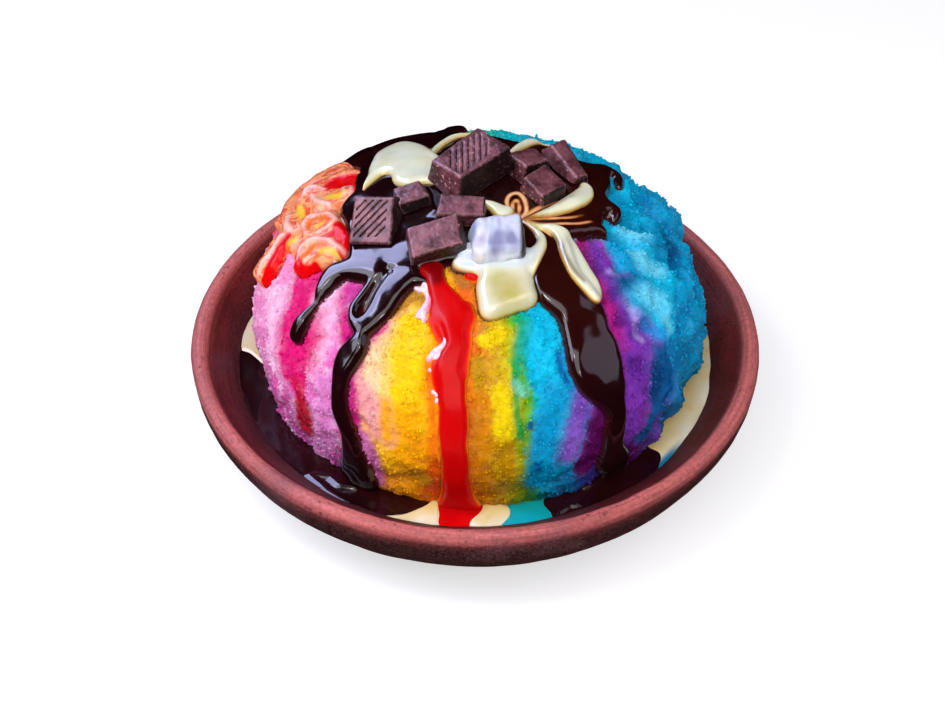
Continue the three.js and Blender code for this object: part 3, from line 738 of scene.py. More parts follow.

# Syrup soaked into the ice, with painted shade and painted highlights on the blue side's clumps: colour,
# softness of its edge, then the runs as the camera sees them
iceStainsAndPaintedLight = [
    (rgb(250, 192, 220), 0.9,
     [[(324, 292, 12), (318, 314, 18), (314, 338, 18), (310, 362, 12)],
      [(270, 300, 12), (266, 330, 10), (268, 362, 10)]]),
    (rgb(226, 134, 196), 0.9, [[(318, 380, 14), (322, 404, 20), (320, 430, 20), (314, 454, 18)]]),
    (rgb(248, 210, 158), 0.9, [[(392, 334, 10), (380, 350, 20), (372, 368, 18), (372, 386, 12)]]),
    (rgb(186, 116, 40), 0.9,
     [[(448, 258, 12), (458, 268, 14), (464, 280, 12)], [(384, 300, 12), (398, 292, 10)]]),
    (rgb(238, 160, 160), 0.9, [[(362, 388, 12), (372, 410, 18), (378, 432, 18)]]),
    (rgb(206, 110, 170), 0.9, [[(360, 440, 14), (368, 462, 18), (372, 480, 16)]]),
    (rgb(255, 206, 0), 0.8, [[(404, 326, 24), (399, 352, 28), (402, 382, 32), (405, 412, 30)]]),
    (rgb(248, 168, 0), 0.9,
     [[(402, 424, 32), (406, 446, 30), (410, 466, 24)], [(384, 404, 10), (386, 440, 14)]]),
    (rgb(196, 140, 34), 0.9, [[(388, 306, 14), (398, 298, 16), (410, 294, 16), (420, 300, 12)]]),
    (rgb(250, 122, 8), 0.8, [[(427, 362, 8), (430, 396, 10), (433, 430, 10), (433, 460, 10)]]),
    (rgb(176, 118, 20), 0.8,
     [[(366, 300, 12), (380, 292, 14), (396, 296, 12)], [(410, 478, 14), (424, 484, 12)]]),
    (rgb(236, 206, 0), 0.8,
     [[(500, 394, 14), (506, 412, 16), (502, 432, 14)], [(486, 340, 14), (504, 332, 12)]]),
    (rgb(190, 140, 2), 0.8, [[(478, 362, 12), (480, 386, 10)], [(508, 446, 12), (508, 476, 12)]]),
    (rgb(196, 190, 14), 0.8, [[(512, 330, 7), (510, 350, 7)]]),
    (rgb(30, 158, 62), 0.9, [[(524, 322, 8), (519, 346, 9), (517, 372, 7), (518, 410, 8), (521, 440, 8)]]),
    (rgb(120, 205, 170), 0.9, [[(516, 384, 9), (524, 394, 8)]]),
    (rgb(2, 190, 222), 0.9, [[(549, 300, 16), (548, 326, 30), (542, 352, 30), (545, 382, 24)]]),
    (rgb(2, 158, 206), 0.9, [[(556, 398, 26), (550, 426, 26), (548, 456, 28), (545, 480, 30)]]),
    (rgb(2, 84, 156), 0.9,
     [[(560, 352, 5), (562, 368, 7), (568, 382, 7)], [(533, 424, 5), (532, 430, 6)],
      [(539, 466, 6), (541, 474, 6)], [(598, 380, 4), (610, 384, 4)]]),
    (rgb(136, 84, 190), 0.9, [[(586, 388, 14), (582, 408, 16), (576, 432, 18), (570, 458, 18)]]),
    (rgb(96, 4, 84), 0.8, [[(604, 396, 14), (603, 418, 20), (597, 444, 24), (588, 466, 24)]]),
    (rgb(186, 20, 128), 0.9,
     [[(588, 236, 8), (597, 260, 9), (608, 286, 11), (618, 308, 14), (625, 332, 12)]]),
    (rgb(122, 50, 170), 0.9,
     [[(600, 240, 7), (612, 266, 10), (628, 300, 13), (638, 336, 18), (640, 372, 18), (638, 412, 18),
       (630, 446, 14)]]),
    (rgb(178, 150, 220), 0.9,
     [[(616, 268, 4), (626, 274, 4)], [(634, 304, 4), (641, 322, 5), (643, 340, 4)]]),
    # painted shade in the hollows between the blue clumps
    (rgb(0, 84, 142), 0.9,
     [[(657, 232, 12), (670, 236, 16)], [(628, 278, 10), (640, 282, 12)],
      [(660, 352, 12), (670, 380, 18), (660, 412, 16), (646, 436, 16)]]),
    (rgb(2, 186, 222), 0.9,
     [[(622, 190, 26), (634, 214, 30)], [(656, 262, 18), (662, 280, 16)],
      [(644, 298, 14), (662, 304, 18)]]),
    # painted highlights on the blue clumps
    (rgb(104, 208, 232), 0.9,
     [[(638, 252, 7), (650, 262, 8), (662, 268, 7)], [(648, 292, 9), (660, 300, 10)],
      [(630, 226, 7), (640, 234, 8)], [(668, 318, 7), (674, 330, 7)]]),
    (rgb(226, 0, 112), 0.6,
     [[(308, 258, 13), (306, 274, 16), (301, 290, 17), (296, 306, 16), (292, 318, 18)],
      [(293, 332, 32), (293, 344, 35), (289, 358, 29), (288, 370, 20), (290, 384, 13)]]),
    (rgb(214, 0, 70), 0.6, [[(290, 382, 9), (294, 394, 10), (297, 404, 14)]]),
    (rgb(184, 0, 26), 0.5, [[(297, 404, 14), (300, 416, 19), (301, 428, 16), (303, 435, 9)]]),
    (rgb(212, 10, 120), 0.8,
     [[(341, 312, 10), (342, 328, 13), (341, 340, 10)], [(344, 288, 9), (338, 300, 10)]]),
    (rgb(206, 52, 152), 0.9, [[(350, 284, 12), (346, 296, 10)]]),
    (rgb(198, 24, 120), 0.9, [[(350, 366, 7), (350, 392, 11), (351, 418, 12), (350, 440, 10)]]),
]


def iceMaterial(name, sparkle):
    material, tree, shader = newMaterial(name, 0.42, Subsurface_Weight=0.3, Subsurface_Scale=0.0018, IOR=1.31,
                                         Specular_IOR_Level=0.14, Coat_Weight=0.03, Coat_Roughness=0.15)
    shader.inputs["Subsurface Radius"].default_value = (1.0, 1.0, 1.0)
    place = objectPlace(tree, iceMiddle)
    x, y, z = addSplit(tree, place)
    angle = addMath(tree, "ARCTAN2", x, addProduct(tree, y, -1.0))
    # the colours run down in uneven streaks, so the wandering is drawn out along the height
    wander = addNoise(tree, addStretch(tree, place, Scale=(1, 1, 0.28)), 0.11, 4, 0.62)
    wander = addProduct(tree, addMath(tree, "SUBTRACT", wander, 0.5), 0.2)
    fluff = addNoise(tree, place, 0.55, 4, 0.68)
    nibble = addProduct(tree, addMath(tree, "SUBTRACT", fluff, 0.5), 0.14)
    angle = addMath(tree, "ADD", addMath(tree, "ADD", angle, wander), nibble)
    along = addRange(tree, angle, -math.pi, math.pi)
    upper, lower = (addRamp(tree, along, [((row[0] + 180) / 360, row[level]) for row in iceColours])
                    for level in (1, 2))
    # towards the foot the colour turns to the lower one, darker in part as painted shade
    ice = addMix(tree, addRange(tree, z, 62, 28), upper, lower)
    # syrup stains, with painted shade and painted highlights on the blue side
    stainAndPaintedLight = addNode(tree, "Attribute", attribute_name="stainAndPaintedLight")
    markShare = addMath(tree, "ADD", stainAndPaintedLight.outputs["Alpha"], addProduct(tree, nibble, 6.0))
    ice = addMix(tree, addRange(tree, markShare, 0.08, 0.66, 0, 0.97), ice, stainAndPaintedLight.outputs["Color"])
    # white frost patches, partly a painted highlight on the lit left side
    patches = addRange(tree, addNoise(tree, place, 0.24, 4, 0.66), 0.48, 0.72)
    ice = addMix(tree, addProduct(tree, patches, valueOf(tree, "frostAndHighlight")), ice, rgb(255, 240, 250))
    # painted shade makes the colour darker and deeper in the hollows, and every loose crystal has a
    # brightness of its own
    deep = addMix(tree, 0.1, addMix(tree, 1.0, ice, ice, "MULTIPLY"), rgb(20, 8, 30))
    ice = addMix(tree, addRange(tree, valueOf(tree, "hollow"), 0.35, 1.0, 0, 0.55), ice, deep)
    if sparkle:
        own = addNode(tree, "NewGeometry").outputs["Random Per Island"]
        light = addRange(tree, own, 0.0, 1.0, 0.82, 1.3)
    else:
        light = addRange(tree, fluff, 0.3, 0.72, 0.8, 1.2)
    addSurface(tree, shader, addShade(tree, ice, light), addNoise(tree, place, 1.9, 5, 0.75), 0.7, 0.4)
    return material


def paintIce(piece, places):
    # soaked colours with painted shade and painted highlights among them, and frost, by where a point lies on
    # the mound
    turn, reach = turnOf(places[:, 0], places[:, 1]), reachOf(places)
    paint = np.zeros((len(turn), 4))
    for colour, feather, runs in iceStainsAndPaintedLight:
        share = sampled(stroke([iceMarkRun(run) for run in runs], feather), turn, reach)
        share = np.clip(share, 0, 1)[:, None]
        over = paint[:, :3] * (1 - share) + np.array(colour[:3]) * share
        paint[:, :3] = np.where(paint[:, 3:] > 0, over, colour[:3])
        paint[:, 3:] = np.maximum(paint[:, 3:], share)
    stainAndPaintedLight = piece.data.attributes.new("stainAndPaintedLight", "FLOAT_COLOR", "POINT")
    stainAndPaintedLight.data.foreach_set("color", paint.astype(np.float32).ravel())
    # frost on the left, partly a painted highlight where the lamps light that side
    left = smoothStep(turn, -112, -92) * (1 - smoothStep(turn, -40, -28))
    strong = paint[:, 3] * (1 - paint[:, :3].min(1) / (paint[:, :3].max(1) + 1e-6))
    keepValue(piece, "frostAndHighlight", (0.03 + 0.6 * left) * (1 - 0.9 * strong))


def moundForm():
    form = copyNode("shaved_ice", "iceForm")
    modify(form, "SUBSURF", levels=2, render_levels=2)
    return form


def evenRows(section, count):
    # redraws the section's line with evenly spaced points
    places = vertexPlaces(section)
    lengths = np.concatenate([[0], np.cumsum(np.linalg.norm(np.diff(places, axis=0), axis=1))])
    at = np.linspace(0, lengths[-1], count)
    line = np.stack([np.interp(at, lengths, places[:, axis]) for axis in range(3)], 1)
    section.data.clear_geometry()
    section.data.from_pydata(line.tolist(), [(i, i + 1) for i in range(count - 1)], [])


def makeIce(form):
    look = iceLook
    radius, widest = look["radius"] * mm, look["widest"] * mm
    top = widest + look["crown"] * mm
    dip = math.acos((look["foot"] - look["widest"]) / look["skirt"])
    foot = Vector((radius * math.sin(dip), look["foot"] * mm))
    slope = Vector((radius * math.cos(dip), -look["skirt"] * mm * math.sin(dip))) * (dip - math.pi / 2) / 3
    side = look["skirt"] * mm * (dip - math.pi / 2) / 3
    corners = [
        ((0, top), (0, top), (radius * look["round"], top)),
        ((radius, widest), (radius, widest + look["crown"] * mm * look["round"]), (radius, widest - side)),
        (foot, foot - slope, foot),
    ]
    ice = drawSection("shavedIceMound", corners, look["smooth"])
    evenRows(ice, look["rows"])
    spinSection(ice, look["turns"])
    ice.data.transform(Matrix.Translation(iceMiddle))
    modify(ice, "SHRINKWRAP", target=form, wrap_method="NEAREST_SURFACEPOINT")
    bpy.data.objects.remove(form)

    plain = vertexPlaces(ice)
    outward = plain - np.array([iceMiddle.x, iceMiddle.y, look["middleHeight"] * mm])
    outward /= np.linalg.norm(outward, axis=1)[:, None]
    turn, reach = turnOf(plain[:, 0], plain[:, 1]), reachOf(plain)
    bare = 1 - smoothStep(sampled(covered, turn, reach), sauceLook["edge"], 0.1)
    # the blue side is lumpier and less crisp than the rest, and under the sauces little relief is left
    blue = (smoothStep(turn, look["blueFrom"], look["blueFrom"] + 10)
            * (1 - smoothStep(turn, look["blueTo"] - 14, look["blueTo"])))
    rough = 0.15 + 0.85 * bare
    for name, weights in (("lumpy", blue * bare), ("bare", rough), ("crisp", rough * (1 - 0.45 * blue))):
        setWeights(ice, name, np.nonzero(weights > 0.02)[0], weights)
    for name, kind, level, group, values in look["relief"]:
        size, strength = look[name]
        roughen(ice, noiseField(name, kind, size, **values), strength, level, group)
    moved = vertexPlaces(ice)
    # shallow runnels between the clumps, and ice pressed down a little under the sauces
    turn = turn + 3 * valueNoise((turn + 180) / 12, reach / 9, 21, 30)
    lane = (turn + 180) / 360 * look["grooves"] % look["grooves"]
    groove = valueNoise(lane, reach / look["grooveLength"], 22, look["grooves"])
    groove = np.clip(1 - np.abs(groove) / look["grooveWidth"], 0, 1) * smoothStep(reach, 45, 65) * bare
    moved -= outward * (look["grooveDepth"] * groove + look["underSauce"] * (1 - bare))[:, None] * mm
    ice.data.vertices.foreach_set("co", moved.astype(np.float32).ravel())
    ice.data.update()
    drop = -((moved - plain) * outward).sum(1) / mm
    keepValue(ice, "hollow", np.clip((drop + 0.5) / 2.6, 0, 1) * (0.3 + 0.7 * bare))
    paintIce(ice, plain)

    # the foot is carried down inside the dish and closed
    pick(ice)
    bpy.ops.object.mode_set(mode="EDIT")
    bpy.ops.mesh.select_all(action="DESELECT")
    bpy.ops.mesh.select_non_manifold(extend=False)
    closing = (*iceMiddle.xy, look["footHeight"] * mm)
    for shrink, drop in look["footSteps"]:
        bpy.ops.mesh.extrude_region_move(TRANSFORM_OT_translate={"value": (0, 0, drop * mm)})
        bpy.ops.transform.resize(value=(shrink, shrink, 0.15), center_override=closing)
    bpy.ops.mesh.merge(type="CENTER")
    bpy.ops.object.mode_set(mode="OBJECT")
    finishPiece(ice, iceMaterial("shavedIce", False), "ice", "shaved_ice")
    return ice


grainLook = {"count": 9000, "smallest": 0.22, "largest": 0.62, "lowest": 26}


def makeGrains(ice):
    # loose crystals lying on the mound, all of one kind, joined into one piece
    look = grainLook
    deselectAll()
    bpy.ops.mesh.primitive_ico_sphere_add(subdivisions=1, radius=1)
    pattern = bpy.context.object
    corners = vertexPlaces(pattern)
    faces = np.array([face.vertices[:] for face in pattern.data.polygons])
    bpy.data.objects.remove(pattern)
    places = vertexPlaces(ice)
    uncovered = sampled(covered, turnOf(places[:, 0], places[:, 1]), reachOf(places)) < sauceLook["edge"]
    free = np.nonzero(uncovered & (places[:, 2] > look["lowest"] * mm))[0]
    chosen = dice.choice(free, look["count"], replace=False)
    size = look["smallest"] + (look["largest"] - look["smallest"]) * dice.random(look["count"]) ** 2
    axes = dice.normal(size=(look["count"], 3, 3))
    turned, _ = np.linalg.qr(axes)
    stretch = 0.65 + 0.7 * dice.random((look["count"], 1, 3))
    bodies = np.einsum("nij,nkj->nki", turned, corners[None] * stretch) * size[:, None, None] * mm
    bodies += dice.normal(scale=0.12, size=bodies.shape) * size[:, None, None] * mm
    vertices = (bodies + places[chosen][:, None]).reshape(-1, 3)
    offsets = np.arange(look["count"])[:, None, None] * len(corners)
    grains = newPiece("iceGrains", vertices.tolist(), (faces[None] + offsets).reshape(-1, 3).tolist())
    keepValue(grains, "hollow", np.zeros(len(vertices)))
    paintIce(grains, vertices)
    finishPiece(grains, iceMaterial("iceGrain", True), "ice")


# Runs and patches at the front and top are given as the camera sees them: across, down and width in
# its frame. Those it doesn't see are given by turn, reach and width in millimetres.
chocolateSeen = {
    "leftArm": [(372, 264, 30), (354, 262, 27), (341, 263, 24), (329, 269, 23), (321, 279, 18),
                (315, 290, 11), (312, 297, 5.5), (308, 303, 6), (302, 311, 10), (295, 323, 14.5),
                (291, 333, 14), (290, 337, 11)],
    "leftCoil": [(378, 264, 12), (367, 278, 11), (358, 291, 11.5), (350, 303, 12), (349, 314, 12),
                 (355, 324, 15)],
    "rightCoil": [(404, 270, 28), (394, 278, 29), (385, 289, 28), (377, 302, 26), (369, 313, 22),
                  (361, 322, 20)],
    "longDrip": [(359, 322, 16), (357, 334, 13), (351, 344, 22), (343, 355, 25), (337, 368, 21),
                 (334, 381, 17), (333, 396, 15.5), (334, 412, 16.5), (339, 425, 15), (343, 437, 15.5),
                 (346, 450, 20), (349, 464, 28), (353, 482, 42)],
    "bridge": [(395, 262, 12), (410, 270, 12), (424, 275, 7)],
    "wideDrip": [(540, 225, 40), (550, 245, 44), (555, 262, 46), (562, 280, 50), (578, 296, 48),
                 (587, 312, 47), (591, 330, 46), (597, 346, 52), (601, 362, 55), (606, 376, 49),
                 (613, 388, 39), (618, 400, 27), (623, 418, 20), (622, 436, 21), (620, 452, 22),
                 (620, 468, 36)],
    "hook": [(580, 162, 20), (600, 160, 16), (615, 162, 12), (624, 168, 9), (626, 177, 5)],
    "tear": [(598, 196, 26), (612, 199, 20), (620, 204, 14), (619, 211, 7)],
    "tearBelow": [(590, 218, 24), (603, 221, 16), (608, 226, 9)],
}
chocolateCap = [
    (346, 257), (345, 240), (343, 222), (336, 206), (344, 194), (351, 188), (351, 177), (357, 166),
    (370, 156), (388, 149), (410, 143), (440, 140), (480, 136), (520, 139), (556, 144), (580, 156),
    (608, 163), (614, 178), (610, 190), (615, 200), (607, 210), (606, 222), (590, 230), (574, 232),
    (560, 246), (520, 262), (470, 258), (430, 262), (400, 268), (366, 262),
]
chocolateHidden = {
    "backLeft": [(-138, 58, 12), (-139, 68, 9), (-142, 78, 7), (-141, 88, 8), (-142, 95, 6)],
    "behind": [(-167, 51, 8), (-172, 56, 7), (-171, 67, 6), (-173, 80, 8), (-172, 92, 7), (-172, 108, 9)],
}
chocolateBack = [(-64, 40), (-92, 38), (-112, 37), (-124, 40), (-136, 47), (-150, 46), (-166, 49), (179, 40),
                 (164, 38), (152, 36), (140, 40), (120, 30), (60, 20), (0, 10), (-40, 20)]
# where it runs on thinly over the far edge
chocolateFilm = [
    (-120, 36), (-127, 44), (-130, 51), (-134, 60), (-142, 65), (-150, 62), (-158, 62), (-166, 56),
    (-172, 46), (-150, 34),
]

swirlHeart = (519, 215)
milkSeen = {
    "tongue": [(*swirlHeart, 2.5), (532, 210, 5), (545, 207, 9), (558, 204, 14), (572, 199, 19),
               (583, 192, 21), (588, 185, 16), (585, 180, 8)],
    "rightRun": [(*swirlHeart, 2), (540, 219.5, 6), (556, 225, 13), (568, 235, 21), (575, 249, 27),
                 (583, 264, 30), (592, 277, 27), (598, 288, 19), (599, 297, 8)],
    "curl": [(*swirlHeart, 2), (531, 221, 6), (541, 231, 9), (542.5, 240, 11), (536, 251, 15),
             (526, 262, 22)],
    "frontLip": [(456, 257, 10), (470, 258, 16), (482, 256, 22)],
    "veil": [(464, 246, 16), (478, 250, 26), (496, 255, 40), (516, 254, 34)],
    "leftSpot": [(482, 200, 7), (494, 203, 13), (503, 208, 19), (509, 206, 12)],
    "thinLine": [(*swirlHeart, 1.5), (540, 216.5, 2.4), (560, 219, 2.6), (580, 218, 2.4), (593, 217, 1.6)],
}
milkFront = [(472, 250), (478, 266), (476, 280), (478, 296), (481, 309), (490, 314), (505, 309), (520, 304),
             (534, 300), (540, 292), (537, 280), (534, 268), (532, 256), (505, 244)]
milkLeft = [
    (360, 187), (365, 174), (368, 163), (376, 150), (389, 143), (402, 139), (414, 139), (426, 143),
    (438, 152), (450, 162), (449, 180), (436, 181), (422, 180), (405, 183), (393, 179), (388, 170),
    (378, 172),
]
milkBackArc = [(430, 157, 6), (433, 146, 8), (443, 137, 8), (458, 131, 7), (476, 129, 5)]
milkBackRight = [(505, 155, 5), (514, 147, 8), (527, 139, 10), (542, 136, 9), (555, 140, 5)]


def chocolateSauceMaterial():
    material, tree, shader = newMaterial("chocolateSauce", 0.12, Specular_IOR_Level=0.35, Coat_Weight=0.3,
                                         Coat_Roughness=0.05)
    place = objectPlace(tree)
    rise = valueOf(tree, "rise")
    body = addRamp(tree, addRange(tree, rise, -0.2, 1.7),
                   [(0, rgb(84, 26, 16)), (0.3, rgb(44, 10, 9)), (1, rgb(24, 4, 7))])
    cloud = addNoise(tree, place, 0.09, 3, 0.5)
    body = addMix(tree, addRange(tree, cloud, 0.5, 0.8, 0, 0.5), body, rgb(48, 10, 10))
    # browner at the upper right
    x, y, z = addSplit(tree, place)
    brown = addProduct(tree, addRange(tree, x, -4, 22, 0, 0.6), addRange(tree, z, 60, 84))
    body = addMix(tree, brown, body, rgb(52, 14, 6))
    # feathered streaks of milk drawn through it: brown, then caramel, then cream
    milky = addRamp(tree, valueOf(tree, "milky"), [
        (0, rgb(30, 8, 9)), (0.25, rgb(110, 52, 18)), (0.5, rgb(222, 150, 92)), (0.75, rgb(240, 205, 160)),
        (1, rgb(243, 234, 200))])
    body = addMix(tree, addRange(tree, valueOf(tree, "milky"), 0.04, 0.3), body, milky)
    addSurface(tree, shader, body, addNoise(tree, place, 0.16, 2, 0.4), 0.2, 0.8)
    return material


def milkMaterial():
    material, tree, shader = newMaterial("condensedMilk", 0.14, Subsurface_Weight=0.3,
                                         Subsurface_Scale=0.0015, Coat_Weight=0.4, Coat_Roughness=0.06)
    place = objectPlace(tree)
    cream = addRamp(tree, addRange(tree, valueOf(tree, "depth"), -0.3, 1.9),
                    [(0, rgb(60, 20, 8)), (0.14, rgb(110, 50, 14)), (0.26, rgb(196, 136, 50)),
                     (0.4, rgb(224, 204, 134)), (0.6, rgb(230, 228, 190)), (1, rgb(234, 236, 214))])
    cloud = addNoise(tree, place, 0.12, 3, 0.5)
    cream = addMix(tree, addRange(tree, cloud, 0.45, 0.75, 0, 0.4), cream, rgb(214, 204, 130))
    # painted shade: a yellow-grey darkening on the front's flat face
    warm = addProduct(tree, valueOf(tree, "warm"), addRange(tree, cloud, 0.2, 0.6, 0.6, 0.95))
    cream = addMix(tree, warm, cream, rgb(186, 172, 84))
    blue = addRange(tree, addNoise(tree, place, 0.22, 3, 0.5, 0.8), 0.3, 0.6, 0.55, 1)
    cream = addMix(tree, addProduct(tree, blue, valueOf(tree, "cold")), cream, rgb(206, 216, 236))
    cream = addMix(tree, addProduct(tree, valueOf(tree, "dark"), 0.95), cream, rgb(46, 18, 22))
    addSurface(tree, shader, cream, addNoise(tree, place, 0.2, 2, 0.4), 0.15, 0.8)
    return material


def syrupMaterial():
    material, tree, shader = newMaterial("redSyrup", 0.32, Subsurface_Weight=0.25, Subsurface_Scale=0.0015,
                                         Specular_IOR_Level=0.08, Coat_Weight=0.06, Coat_Roughness=0.08)
    place = objectPlace(tree)
    red = addRamp(tree, addRange(tree, valueOf(tree, "rise"), -0.5, 1.4),
                  [(0, rgb(240, 160, 50)), (0.3, rgb(246, 130, 14)), (0.5, rgb(240, 60, 8)),
                   (0.64, rgb(216, 2, 3)), (1, rgb(204, 0, 1))])
    cloud = addNoise(tree, place, 0.1, 3, 0.6)
    red = addMix(tree, addRange(tree, cloud, 0.45, 0.8, 0, 0.5), red, rgb(172, 0, 3))
    red = addMix(tree, valueOf(tree, "dark"), red, rgb(120, 0, 4))
    addSurface(tree, shader, red, addNoise(tree, place, 0.3, 2, 0.5), 0.2, 0.8)
    return material


def foamMaterial():
    material, tree, shader = newMaterial("pinkFoam", 0.3, Subsurface_Weight=0.4, Subsurface_Scale=0.0015)
    place = objectPlace(tree)
    cloud = addNoise(tree, place, 0.5, 3, 0.6)
    colour = addMix(tree, addRange(tree, cloud, 0.35, 0.65), rgb(246, 170, 200), rgb(255, 232, 240))
    addSurface(tree, shader, colour, cloud, 0.5, 0.4)
    return material


def swirlMaterial():
    material, tree, shader = newMaterial("swirledSyrup", 0.25, Subsurface_Weight=0.25,
                                         Subsurface_Scale=0.0015, Specular_IOR_Level=0.1, Coat_Weight=0.05,
                                         Coat_Roughness=0.08)
    place = objectPlace(tree)
    cloud = addNoise(tree, place, 0.2, 2.5, 0.5, 1.2)
    base = addRamp(tree, cloud,
                   [(0.3, rgb(250, 176, 150)), (0.42, rgb(248, 116, 60)), (0.5, rgb(252, 180, 126)),
                    (0.6, rgb(240, 60, 24)), (0.72, rgb(252, 196, 160))])
    base = addMix(tree, valueOf(tree, "orange"), base, rgb(244, 110, 14))
    base = addMix(tree, valueOf(tree, "yellow"), base, rgb(252, 204, 60))
    base = addMix(tree, addRange(tree, valueOf(tree, "red"), 0.2, 0.65), base, rgb(222, 0, 4))
    base = addMix(tree, valueOf(tree, "pale"), base, rgb(254, 200, 190))
    addSurface(tree, shader, base, cloud, 0.5, 1.0)
    return material


syrupRiver = [
    (424, 248, 22), (428, 258, 24), (433, 270, 18), (437, 282, 20), (443, 293, 26), (448, 303, 30),
    (453, 314, 27), (454, 328, 19), (455, 343, 18), (450, 356, 22), (447, 370, 22), (450, 384, 25),
    (451, 400, 23), (452, 415, 25), (452, 432, 26), (452, 450, 23), (454, 470, 24), (455, 490, 25),
    (457, 508, 32), (458, 520, 46),
]
syrupBays = [
    [(437, 300, 14), (435, 308, 13), (438, 315, 10)], [(446, 372, 14), (443, 382, 8)],
    [(443, 398, 8), (444, 410, 7)], [(462, 300, 10), (466, 310, 8), (464, 320, 6)],
    [(446, 440, 10), (444, 462, 8)], [(468, 270, 8), (474, 272, 9)],
]
# a thin film of it beside the river, orange where the ice shows through
syrupFilm = [[(430, 316, 8), (437, 324, 14), (440, 336, 10)],
             [(434, 362, 8), (434, 378, 9), (438, 392, 9), (440, 404, 6)],
             [(466, 300, 9), (470, 312, 10), (467, 326, 8), (466, 342, 9), (464, 360, 8), (463, 376, 7)]]
syrupPatch = [
    (345, 162), (354, 164), (366, 169), (363, 181), (355, 193), (341, 199), (335, 206), (341, 218),
    (348, 232), (345, 244), (336, 251), (324, 259), (313, 263), (303, 269), (296, 273), (289, 267),
    (290, 257), (284, 246), (277, 256), (269, 270), (258, 284), (252, 276), (260, 256), (270, 238),
    (277, 226),
]
# the same patch's edge past what the camera sees, by turn and reach
syrupBeyond = [(-104, 69), (-111, 68), (-117, 65), (-122, 64), (-128, 60), (-131, 54)]


def pouredShapes():
    deep = sauceLook["chocolate"]
    cap = patchRise(seenPatch(chocolateCap, 1.2), deep)
    chocolate = merged(cap, patchRise(chocolateBack, deep), patchRise(chocolateFilm, 0.3 * deep, 1.5),
                       *[runRise(seenRun(run), deep) for run in chocolateSeen.values()],
                       *[runRise(run, 0.55 * deep) for run in chocolateHidden.values()], times=3)
    thick = sauceLook["milk"]
    front = patchRise(seenPatch(milkFront, 3), 3.2, 3.4)
    swirl = merged(front, *[runRise(seenRun(run, 3), thick, 3.2) for run in milkSeen.values()])
    syrup = merged(runRise(seenRun(syrupRiver, 1.6), sauceLook["syrup"], 3.2),
                   *[runRise(seenRun(bay, 1.4), 1.0) for bay in syrupBays],
                   *[runRise(seenRun(film, 1.2), 0.35) for film in syrupFilm])
    patch = seenPatch(syrupPatch, 1.6) + syrupBeyond
    stained = soften(patchRise(patch, sauceLook["swirl"], 1.8), 2)
    return chocolate, swirl, syrup, stained


# cream drawn through the chocolate sauce
milkFeathers = [
    [(*swirlHeart, 3), (511, 207, 3), (507, 197, 3), (511, 190.5, 3.4), (519, 190, 3.6), (525, 197, 3.4),
     (527, 206, 3), (521, 214, 3)],
    [(*swirlHeart, 2), (514, 207, 2.4), (513, 199, 2.6), (517, 196, 2.4), (520, 202, 2.4), (519, 211, 2.4)],
    [(*swirlHeart, 2), (530, 208, 2.4), (545, 201, 2.4), (560, 197, 1.6)],
    [(*swirlHeart, 2), (540, 212, 2.6), (565, 213, 2.2), (585, 211, 1.6)],
    [(*swirlHeart, 2), (540, 217, 2.2), (560, 219.5, 2.6), (580, 219, 2.4), (594, 217, 1.8)],
    [(*swirlHeart, 2), (538, 222, 3), (548, 227, 3.4), (553, 232, 2)],
    [(*swirlHeart, 2), (534, 205, 2.2), (552, 197, 2), (566, 190, 1.4)],
    [(*swirlHeart, 2.4), (505, 211, 3), (494, 205, 2.4)], [(400, 152, 2), (412, 144, 3), (424, 141, 2)],
    [(418, 156, 2), (424, 147, 3), (430, 143, 2)],
]
# chocolate showing between the folds of milk, and in the furrow of its right run
milkFurrows = [
    [(522, 219, 1.6), (530, 224, 2), (533, 231, 2.4), (529, 238, 2.4), (523, 240, 1.6)],
    [(528, 209, 1.4), (548, 204, 1.8), (566, 197.5, 1.8), (578, 192, 1)],
    [(526, 212, 1.4), (545, 208.5, 1.6), (560, 207.5, 1.2)],
]
milkHollow = [(553, 230, 3), (561, 240, 4), (566, 253, 4), (574, 267, 4), (585, 279, 3)]
# where the milk is cold in the shade, and painted yellow shade on the milk's front
milkShadow = [(456, 242, 28), (480, 244, 42), (510, 242, 50)]
milkYellowShade = [(504, 281, 32), (510, 292, 36)]
# where the syrup is darkened by sauce above it, and the froth along its edges
syrupUnderChocolate = [(420, 250, 26), (434, 264, 22), (436, 276, 12)]
foamFlecks = [
    [(398, 270, 3), (408, 271, 4), (418, 274, 5), (425, 280, 4), (425, 287, 4), (427, 294, 6),
     (423, 301, 6), (421, 309, 5), (422, 315, 3)], [(418, 284, 3), (413, 281, 3)],
    [(417, 304, 3), (415, 311, 3)],
    [(443, 333, 4), (444, 340, 5), (438, 345, 5), (432, 350, 5), (427, 357, 4)],
    [(441, 352, 4), (436, 356, 4)], [(428, 368, 2.4), (434, 372, 3)], [(431, 392, 3), (438, 396, 4)],
    [(438, 399, 3), (434, 403, 3)], [(407, 253, 3), (413, 257, 3), (419, 258, 3)],
    [(371, 263, 3), (377, 267, 4), (381, 274, 2.4)],
    [(338, 168, 4), (346, 166, 7), (355, 168, 8), (364, 169, 6)],
    [(312, 190, 4), (318, 195, 6), (326, 198, 4)],
    [(332, 206, 3), (338, 212, 4), (343, 220, 4), (347, 230, 3.4), (350, 237, 3)],
    [(322, 252, 4), (329, 254, 5)],
]
